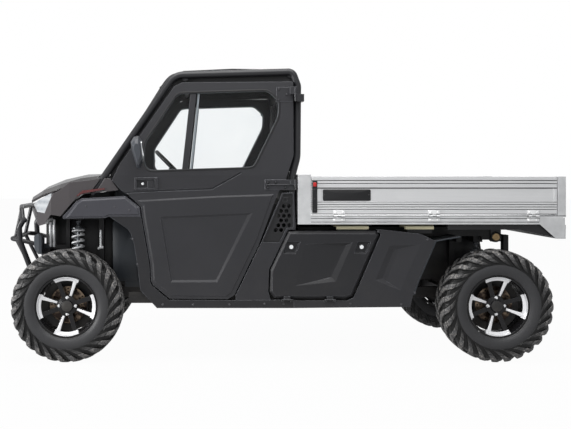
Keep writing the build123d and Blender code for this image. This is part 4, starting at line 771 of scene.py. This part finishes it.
# painted light: the nose's gloss is a lighter copy of the hood's, for its lit facets
dress(gloss_paint("fascia_gloss_lit", (0.050, 0.045, 0.047), (0.034, 0.030, 0.032), 0.2, 0.25), "nose")
dress(gloss_paint("hood_gloss", (0.020, 0.017, 0.018), (0.013, 0.011, 0.012), 0.22, 0.2), "hood")
dress(satin_black, "grille")


def lens(name, base, deep, ribs, direction, clear):
    """A moulded lens: ribs are a sine wave that colours and bumps it; its own shader is coated, part clear."""
    made, tree = bare_material(name)
    place = spot(tree)[0]
    wave = add(tree, "TexWave", [("Vector", place), ("Scale", ribs), ("Distortion", 0.6), ("Detail", 1.0)],
               bands_direction=direction).outputs["Fac"]
    tone = colour_mix(tree, calc(tree, "MULTIPLY", wave, noise(tree, place, 26.0, 3.0)), base, deep)
    relief = add(tree, "Bump", [("Strength", 0.35), ("Distance", 0.002), ("Height", wave)]).outputs[0]
    principled(tree, [("Base Color", tone), ("Roughness", 0.12), ("Normal", relief),
                      ("Transmission Weight", clear), ("Coat Weight", 1.0),
                      ("Coat Roughness", 0.03)])
    return made


dress(lens("headlamp_lens", (0.62, 0.64, 0.66), (0.25, 0.28, 0.31), 7.0, "Z", 0.25), "headlamps")
dress(lens("marker_lens", (0.09, 0.004, 0.005), (0.03, 0.001, 0.001), 30.0, "X", 0.1), "marker_lamps")


# ---------------------------------------------------------------- side bins: locks and screws
# Quarter-turn plated locks with a coin slot in each lid's two recesses; the panels are held by small screws.
coin_lock = np.array([(0, .4), (7.5, .4), (8.6, 1.4), (11.6, 1.4), (12.6, .4), (13, -1)]) / 1000
coin_slot = np.array([(-5.5, -1), (-5.5, 1), (5.5, 1), (5.5, -1)]) / 1000
lock_places, lock_z = (-0.068, -0.510), 0.729
locks = [turned(coin_lock, (x, 0.7372, lock_z), outwards, 28) for x in lock_places]
locks += [carried(coin_slot, [(x, 0.7365, lock_z), (x, 0.7388, lock_z)], [(0.6, 0, 0.8)] * 2,
                  [(-0.8, 0, 0.6)] * 2) for x in lock_places]
pair("lid_locks_", locks, plated, "lid_")
side_places = ((-0.615, 0.825), (-0.925, 0.775), (-0.845, 0.440), (-0.44, 0.372), (-0.76, 0.368),
               (0.32, 0.366), (0.74, 0.366), (0.90, 0.62), (0.93, 0.78), (-0.02, 0.372), (0.10, 0.372),
               (0.55, 0.366))
fender_places = ((1.04, 0.98), (1.22, 0.985), (0.95, 0.96))
panel_screws = screws([(x, 0.7352, z) for x, z in side_places], outwards, 0.0055, 0.0035, 12)
panel_screws += screws([(x, 0.7452, z) for x, z in fender_places], outwards, 0.005, 0.003, 12)
piece("panel_screws", panel_screws + mirrored(panel_screws), dark_steel, "root")


# ---------------------------------------------------------------- load bed
# Extruded aluminium boards and rails, brushed lengthways; folded galvanised posts and cheeks; zinc hinge
# leaves riveted on, a black latch strip at the front end and one blank black plate on the left board.
tree, given, result = shared_effect(
    "brushed_metal",
    [("Bright", "Color", (0.8, 0.8, 0.8, 1)), ("Dull", "Color", (0.6, 0.6, 0.6, 1)),
     ("Stretch", "Vector", (2.0, 400.0, 400.0)), ("Depth", "Float", 0.15), ("Stain", "Float", 0.4)],
    [("Colour", "Color"), ("Roughness", "Float"), ("Normal", "Vector")])
brushed = tree
place = spot(tree)[0]
streak = add(tree, "VectorMath", [(0, place), (1, given["Stretch"])], operation="MULTIPLY").outputs[0]
lines = noise(tree, streak, 1.0, 4.0, 0.7)
streaked = colour_mix(tree, lines, given["Dull"], given["Bright"])
marks = calc(tree, "MULTIPLY", span(tree, noise(tree, place, 4.5, 5.0), 0.45, 0.75), given["Stain"])
stained = colour_mix(tree, marks, streaked, given["Dull"])
soft_edge = add(tree, "Bevel", [("Radius", 0.0025)], samples=4).outputs[0]
relief = add(tree, "Bump", [("Strength", given["Depth"]), ("Distance", 0.0006), ("Height", lines),
                            ("Normal", soft_edge)]).outputs[0]
for label, value in (("Colour", stained), ("Roughness", span(tree, lines, 0.3, 0.7, 0.30, 0.46)),
                     ("Normal", relief)):
    tree.links.new(value, result[label])


def metal(name, bright, dull, stretch, metallic, stain=0.4):
    """A bare metal fed by the brushed group; stretch is the noise's scale along x, y and z."""
    made, tree = bare_material(name)
    group = add(tree, "Group", node_tree=brushed)
    for label, value in (("Bright", (*bright, 1)), ("Dull", (*dull, 1)), ("Stretch", stretch),
                         ("Stain", stain)):
        group.inputs[label].default_value = value
    fed = group.outputs
    principled(tree, [("Base Color", fed["Colour"]), ("Roughness", fed["Roughness"]),
                      ("Normal", fed["Normal"]), ("Metallic", metallic)])
    return made


def bands(tree, value, levels):
    """1 where the value lies within the half width of one of the (level, half width) pairs, else 0."""
    inside = [calc(tree, "COMPARE", value, level, half_width) for level, half_width in levels]
    while len(inside) > 1:
        inside = [calc(tree, "MAXIMUM", inside[0], inside[1])] + inside[2:]
    return inside[0]


aluminium = (0.76, 0.76, 0.765), (0.56, 0.565, 0.57)
board_metal = metal("brushed_aluminium", *aluminium, (1.6, 60.0, 420.0), 0.55)
dress(board_metal, "board_left", "board_right")
dress(metal("brushed_tailboard", *aluminium, (60.0, 1.6, 420.0), 0.55), "tailboard")
dress(metal("galvanised_steel", (0.70, 0.705, 0.71), (0.44, 0.445, 0.45), (16.0, 16.0, 16.0), 0.6, 0.8),
      "tail_lamp_panel")
# painted shade in the lines where the extrusion's grooves and sunk band end: narrow bands of the local height
tree = board_metal.node_tree
grooves = bands(tree, spot(tree)[1]["Z"], ((0.9365, 0.0030), (0.965, 0.0022), (0.981, 0.0022), (0.996, 0.0022),
                                           (1.0115, 0.0022), (1.0995, 0.0042), (1.128, 0.0026),
                                           (1.147, 0.0030)))
repaint(tree, calc(tree, "MULTIPLY", grooves, 0.82), (0.035, 0.036, 0.038))
# the bed's side rails, posts and cheeks are bare, the frame under and inside them is painted black; both are
# one welded piece, so height and depth tell them apart, and dark lines of painted shade run along the rail's
# grooves
bed_metal = metal("bed_paint", (0.74, 0.745, 0.75), (0.48, 0.485, 0.49), (16.0, 16.0, 16.0), 0.6, 0.8)
dress(bed_metal, "bed_frame")
tree = bed_metal.node_tree
xyz = spot(tree)[1]
under_rail = calc(tree, "LESS_THAN", xyz["Z"], 0.8712)
inward = calc(tree, "LESS_THAN", calc(tree, "ABSOLUTE", xyz["Y"]), 0.690)
floor_side = calc(tree, "MULTIPLY", inward, calc(tree, "LESS_THAN", xyz["Z"], 0.9275))
rail_lines = bands(tree, xyz["Z"], ((0.9255, 0.0022), (0.886, 0.0018), (0.908, 0.0018)))
rail_lines = calc(tree, "MULTIPLY", rail_lines, calc(tree, "LESS_THAN", xyz["X"], -0.19))
painted = calc(tree, "MAXIMUM", under_rail, calc(tree, "MAXIMUM", floor_side, rail_lines))
repaint(tree, painted, (0.010, 0.010, 0.011))
bare = calc(tree, "SUBTRACT", 1.0, painted)
tree.links.new(calc(tree, "MULTIPLY", bare, 0.6), shader_input(tree, "Metallic")[0])

# black side members under the rear half of the bed, the last stretch tapered
members = [sheet_panel(rectangle(-1.500, -1.050, 0.838, 0.8712), 0.742, 0.040),
           sheet_panel([(-1.500, 0.838), (-1.715, 0.792), (-1.715, 0.8712), (-1.500, 0.8712)], 0.742, 0.004)]
piece("bed_side_members", members + mirrored(members), satin_black, "bed")
nylon = finish("nylon_pads", (0.72, 0.66, 0.44), (0.58, 0.54, 0.38), 0.55, edge_colour=(0.8, 0.76, 0.6),
               dust_amount=0.1)
dress(nylon, "bed_pads")
# more pads stand on black blocks along the top of the bins, just under the bed's side rail
pads, blocks = [], []
for back, front in ((-0.562, -0.360), (-0.973, -0.796)):
    pads.append(sheet_panel(rectangle(back, front, 0.838, 0.857), 0.700, 0.040))
    blocks.append(sheet_panel(rectangle(back + 0.01, front - 0.01, 0.812, 0.839), 0.692, 0.030))
piece("rest_pads", pads + mirrored(pads), nylon, "root")
piece("rest_blocks", blocks + mirrored(blocks), satin_black, "root")

rivet = np.array([(0, 2.4), (2.4, 2.2), (4.2, 1.2), (5.0, 0), (5.0, -1.5)]) / 1000
leaf_profile = np.array([(-1, -.004), (-1, .002), (-.93, .003), (.93, .003), (1, .002), (1, -.004)])


def hinge_leaf(x, low, high, y):
    """A thin plate of one closed profile carried between two heights, with two domed rivets on it."""
    plate = carried(leaf_profile, [(x, y, low), (x, y, high)], [(0.036, 0, 0)] * 2, [(0, 1.0, 0)] * 2)
    level = (low + high) / 2
    return [plate] + [turned(rivet, (x + e * 0.023, y + 0.003, level), outwards, 14) for e in (-1, 1)]


# each leaf is riveted to the board above or the rail below; the pins run in knuckles between them, black as
# painted shade under the leaves
zinc = metal("zinc_plate", (0.92, 0.92, 0.92), (0.80, 0.80, 0.80), (40.0, 40.0, 40.0), 0.55, 0.3)
hinge_places = (-0.365, -0.960, -1.580)
upper = [part for x in hinge_places for part in hinge_leaf(x, 0.9365, 0.962, 0.7607)]
lower = [part for x in hinge_places for part in hinge_leaf(x, 0.893, 0.909, 0.7555)]
knuckle = [bar((x - 0.035, 0.7655, 0.926), (x + 0.035, 0.7655, 0.926), 0.0074) for x in hinge_places]
pair("hinge_leaf_", upper, zinc, "board_")
pair("hinge_foot_", lower, zinc, "bed")
piece("hinge_knuckles_shade", knuckle + mirrored(knuckle), satin_black, "bed")


def rounded_plate(wide, tall, radius):
    """A rectangle with round corners about its middle."""
    return rounded(rectangle(-wide / 2, wide / 2, -tall / 2, tall / 2), radius)


# the plate sits in the board's sunk band; the latch strip is screwed over the board's front stile
plate_x, plate_z, plate_top = -0.414, 1.0555, 0.7528
blank = [raised(rounded_plate(0.300, 0.072, 0.010), (plate_x, plate_z),
                ((0.7495, 1.0, 1.0), (0.7520, 1.0, 1.0), (plate_top, 0.993, 0.97)))]
blank += [turned(rivet, (plate_x + e * 0.140, plate_top, plate_z), outwards, 14) for e in (-1, 1)]
piece("blank_plate", blank, satin_black, "board_left")
latch_x = -0.2125
strip = [raised(rounded_plate(0.032, 0.202, 0.006), (latch_x, 1.0455),
                ((0.7545, 1.0, 1.0), (0.7600, 1.0, 1.0), (0.7615, 0.93, 0.988)))]
strip += screws([(latch_x, 0.7612, z) for z in (0.962, 1.030, 1.090)], outwards, 0.0055, 0.004, 12)
pull = [raised(rounded_plate(0.020, 0.026, 0.004), (latch_x, 1.122),
               ((0.7605, 1.0, 1.0), (0.7680, 1.0, 1.0), (0.7690, 0.85, 0.9)))]
red_plastic = finish("red_plastic", (0.45, 0.02, 0.02), (0.35, 0.015, 0.015), 0.35,
                     edge_colour=(0.7, 0.5, 0.5), dust_amount=0.1)
pair("latch_strip_", strip, satin_black, "board_")
pair("latch_pull_", pull, red_plastic, "board_")

# pivot bushes: a bronze flanged bush in a black ring on the outside of each bed cheek
bush = np.array([(0, 4), (9, 4), (10, 7), (22, 8), (25, 6), (26, 0), (26, -1)]) / 1000
ring = np.array([(25, 0), (25, 5), (27, 7), (33, 6), (35, 3), (35, -1)]) / 1000
bronze_bush = finish("bronze_bush", (0.42, 0.30, 0.16), (0.30, 0.20, 0.10), 0.32, metallic=0.8,
                     edge_colour=(0.6, 0.5, 0.35), edge_radius=0.001, dust_amount=0.1)
for label, profile, material in (("pivot_bush", bush, bronze_bush), ("pivot_ring", ring, satin_black)):
    part = [turned(profile, (-1.435, 0.482, 0.776), (0, 1.0, 0), 32)]
    piece(label, part + mirrored(part), material, "bed")

# tail lamps: red lenses with an amber bar beside each, on the panel under the tailboard
lamp_shape, lamp_z = rounded_plate(0.124, 0.052, 0.012), 0.826


def tail_lens(y, share, narrow, deepest):
    """A share of the lamp's width, stood out rearwards in three steps, the last one drawn in."""
    steps = ((-1.7838, 1.0, 1.0), (-1.7858, 1.0, 1.0), (deepest, narrow, 0.88))
    return carried(lamp_shape * (share, 1), [(x, y, lamp_z) for x, _, _ in steps],
                   [(0, k, 0) for _, k, _ in steps], [(0, 0, k) for _, _, k in steps])


red_lens = lens("tail_lens", (0.48, 0.012, 0.010), (0.20, 0.004, 0.004), 26.0, "Y", 0.1)
amber_lens = lens("amber_lens", (0.65, 0.24, 0.02), (0.35, 0.10, 0.01), 26.0, "Y", 0.1)
piece("tail_lenses", [tail_lens(y, 1, 0.95, -1.7868) for y in (0.600, -0.600)], red_lens, "bed")
piece("turn_lenses", [tail_lens(y, 0.4, 0.93, -1.7867) for y in (0.507, -0.507)], amber_lens, "bed")

# lift cylinder: black barrel, hard chromed rod
dress(satin_black, "lift_barrel")
dress(finish("chromed_rod", (0.72, 0.73, 0.75), (0.66, 0.67, 0.69), 0.12, metallic=1.0, patch_scale=20.0,
             dust_amount=0.05), "lift_rod")


# ---------------------------------------------------------------- seats
# Three foam seats in black vinyl: each cushion and back is a crowned, stuffed pad with sewn channels across
# its front face.
vinyl = finish("seat_vinyl", (0.022, 0.022, 0.025), (0.030, 0.030, 0.033), 0.5, grain_scale=420.0,
               grain_depth=0.35, edge_colour=(0.07, 0.07, 0.075), edge_amount=0.3, dust_amount=0.06)


def pad_shape(centre, axes, halves, channels):
    """A superellipsoid: each angle's cosine and sine to the power 0.30, their signs kept, so a closed box with
    soft edges, crowned by 6 %. Channels press its front face in along lines of its height by a bell curve."""
    v = np.linspace(-math.pi / 2, math.pi / 2, 49)[:, None]
    u = np.linspace(0, 2 * math.pi, 96, endpoint=False)[None, :]
    cos_v, sin_v, cos_u, sin_u = (np.sign(w) * np.abs(w) ** 0.30
                                  for w in (np.cos(v), np.sin(v), np.cos(u), np.sin(u)))
    a, b = cos_v * cos_u, cos_v * sin_u
    c = sin_v * np.ones_like(u) * (1 - 0.06 * (a ** 2 + b ** 2))
    for line in channels:
        c = c - 0.16 * np.exp(-((b - line) / 0.035) ** 2) * (c > 0)
    local = np.stack([a, b, c], -1) * np.asarray(halves)
    return grid(np.asarray(centre) + local @ np.asarray(axes), False, True)


def stuff(pad, swell):
    """Pressure from inside: the shape is remeshed, blown out by cloth pressure with gravity off, each point
    held to within swell of where it began, and the result kept as the mesh."""
    remesh = pad.modifiers.new("even", "REMESH")
    remesh.mode, remesh.voxel_size = "VOXEL", 0.008
    held = bpy.context.evaluated_depsgraph_get()
    even = bpy.data.meshes.new_from_object(pad.evaluated_get(held))
    pad.modifiers.clear()
    pad.data = even
    start = np.empty(len(even.vertices) * 3, np.float32)
    even.vertices.foreach_get("co", start)
    cloth = pad.modifiers.new("cloth", "CLOTH")
    cloth.settings.use_pressure, cloth.settings.uniform_pressure_force = True, 3.0
    cloth.settings.effector_weights.gravity = 0.0
    cloth.settings.quality = 4
    cloth.settings.mass = 0.4
    cloth.settings.tension_stiffness = cloth.settings.compression_stiffness = 22
    for number in range(1, 15):
        bpy.context.scene.frame_set(number)
    blown = bpy.data.meshes.new_from_object(pad.evaluated_get(bpy.context.evaluated_depsgraph_get()))
    moved = np.empty_like(start)
    blown.vertices.foreach_get("co", moved)
    step = (moved - start).reshape(-1, 3)
    far = np.linalg.norm(step, axis=1, keepdims=True)
    kept = start.reshape(-1, 3) + step * np.minimum(1.0, swell / np.maximum(far, 1e-9))
    pad.modifiers.clear()
    pad.data = blown
    blown.vertices.foreach_set("co", kept.astype(np.float32).ravel())
    blown.update()
    bpy.context.scene.frame_set(1)
    blown.polygons.foreach_set("use_smooth", np.ones(len(blown.polygons), bool))


# the left seat's cushion and back are shaped and stuffed; the other two seats are copies moved across
outer_y = 0.33
cushion = [pad_shape((0.392, outer_y, 0.694), [(0, 1, 0), (1, 0, 0), (0, 0, 1)], (0.146, 0.212, 0.046),
                     (-0.35, 0.30))]
rest = [pad_shape((0.083, outer_y, 0.985), [(0, 1, 0), (-0.045, 0, 0.999), (0.999, 0, 0.045)],
                  (0.146, 0.275, 0.036), (-0.45, 0.05, 0.5))]
kinds = (("seat_cushion_", cushion, "seat_cushions"), ("seat_back_", rest, "seat_backs"))
firsts = [piece(kind + "left", parts, vinyl, "root", sharp=80) for kind, parts, _ in kinds]
for pad in firsts:
    stuff(pad, 0.007)
for first, (kind, _, held) in zip(firsts, kinds):
    pads = [first]
    for label, y in (("middle", 0.0), ("right", -outer_y)):
        pad = bpy.data.objects.new(kind + label, first.data.copy())
        co = np.empty(len(pad.data.vertices) * 3, np.float32)
        pad.data.vertices.foreach_get("co", co)
        co[1::3] += y - outer_y
        pad.data.vertices.foreach_set("co", co)
        pad.data.update()
        bpy.context.scene.collection.objects.link(pad)
        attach(pad, "root")
        pads.append(pad)
    for pad in pads:
        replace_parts(pad, held)

dress(finish("wheel_grip", (0.018, 0.018, 0.020), (0.026, 0.026, 0.028), 0.5, grain_scale=700.0,
             grain_depth=0.3), "steering_wheel")
dress(satin_black, "steering_column")


# ---------------------------------------------------------------- end
low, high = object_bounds()
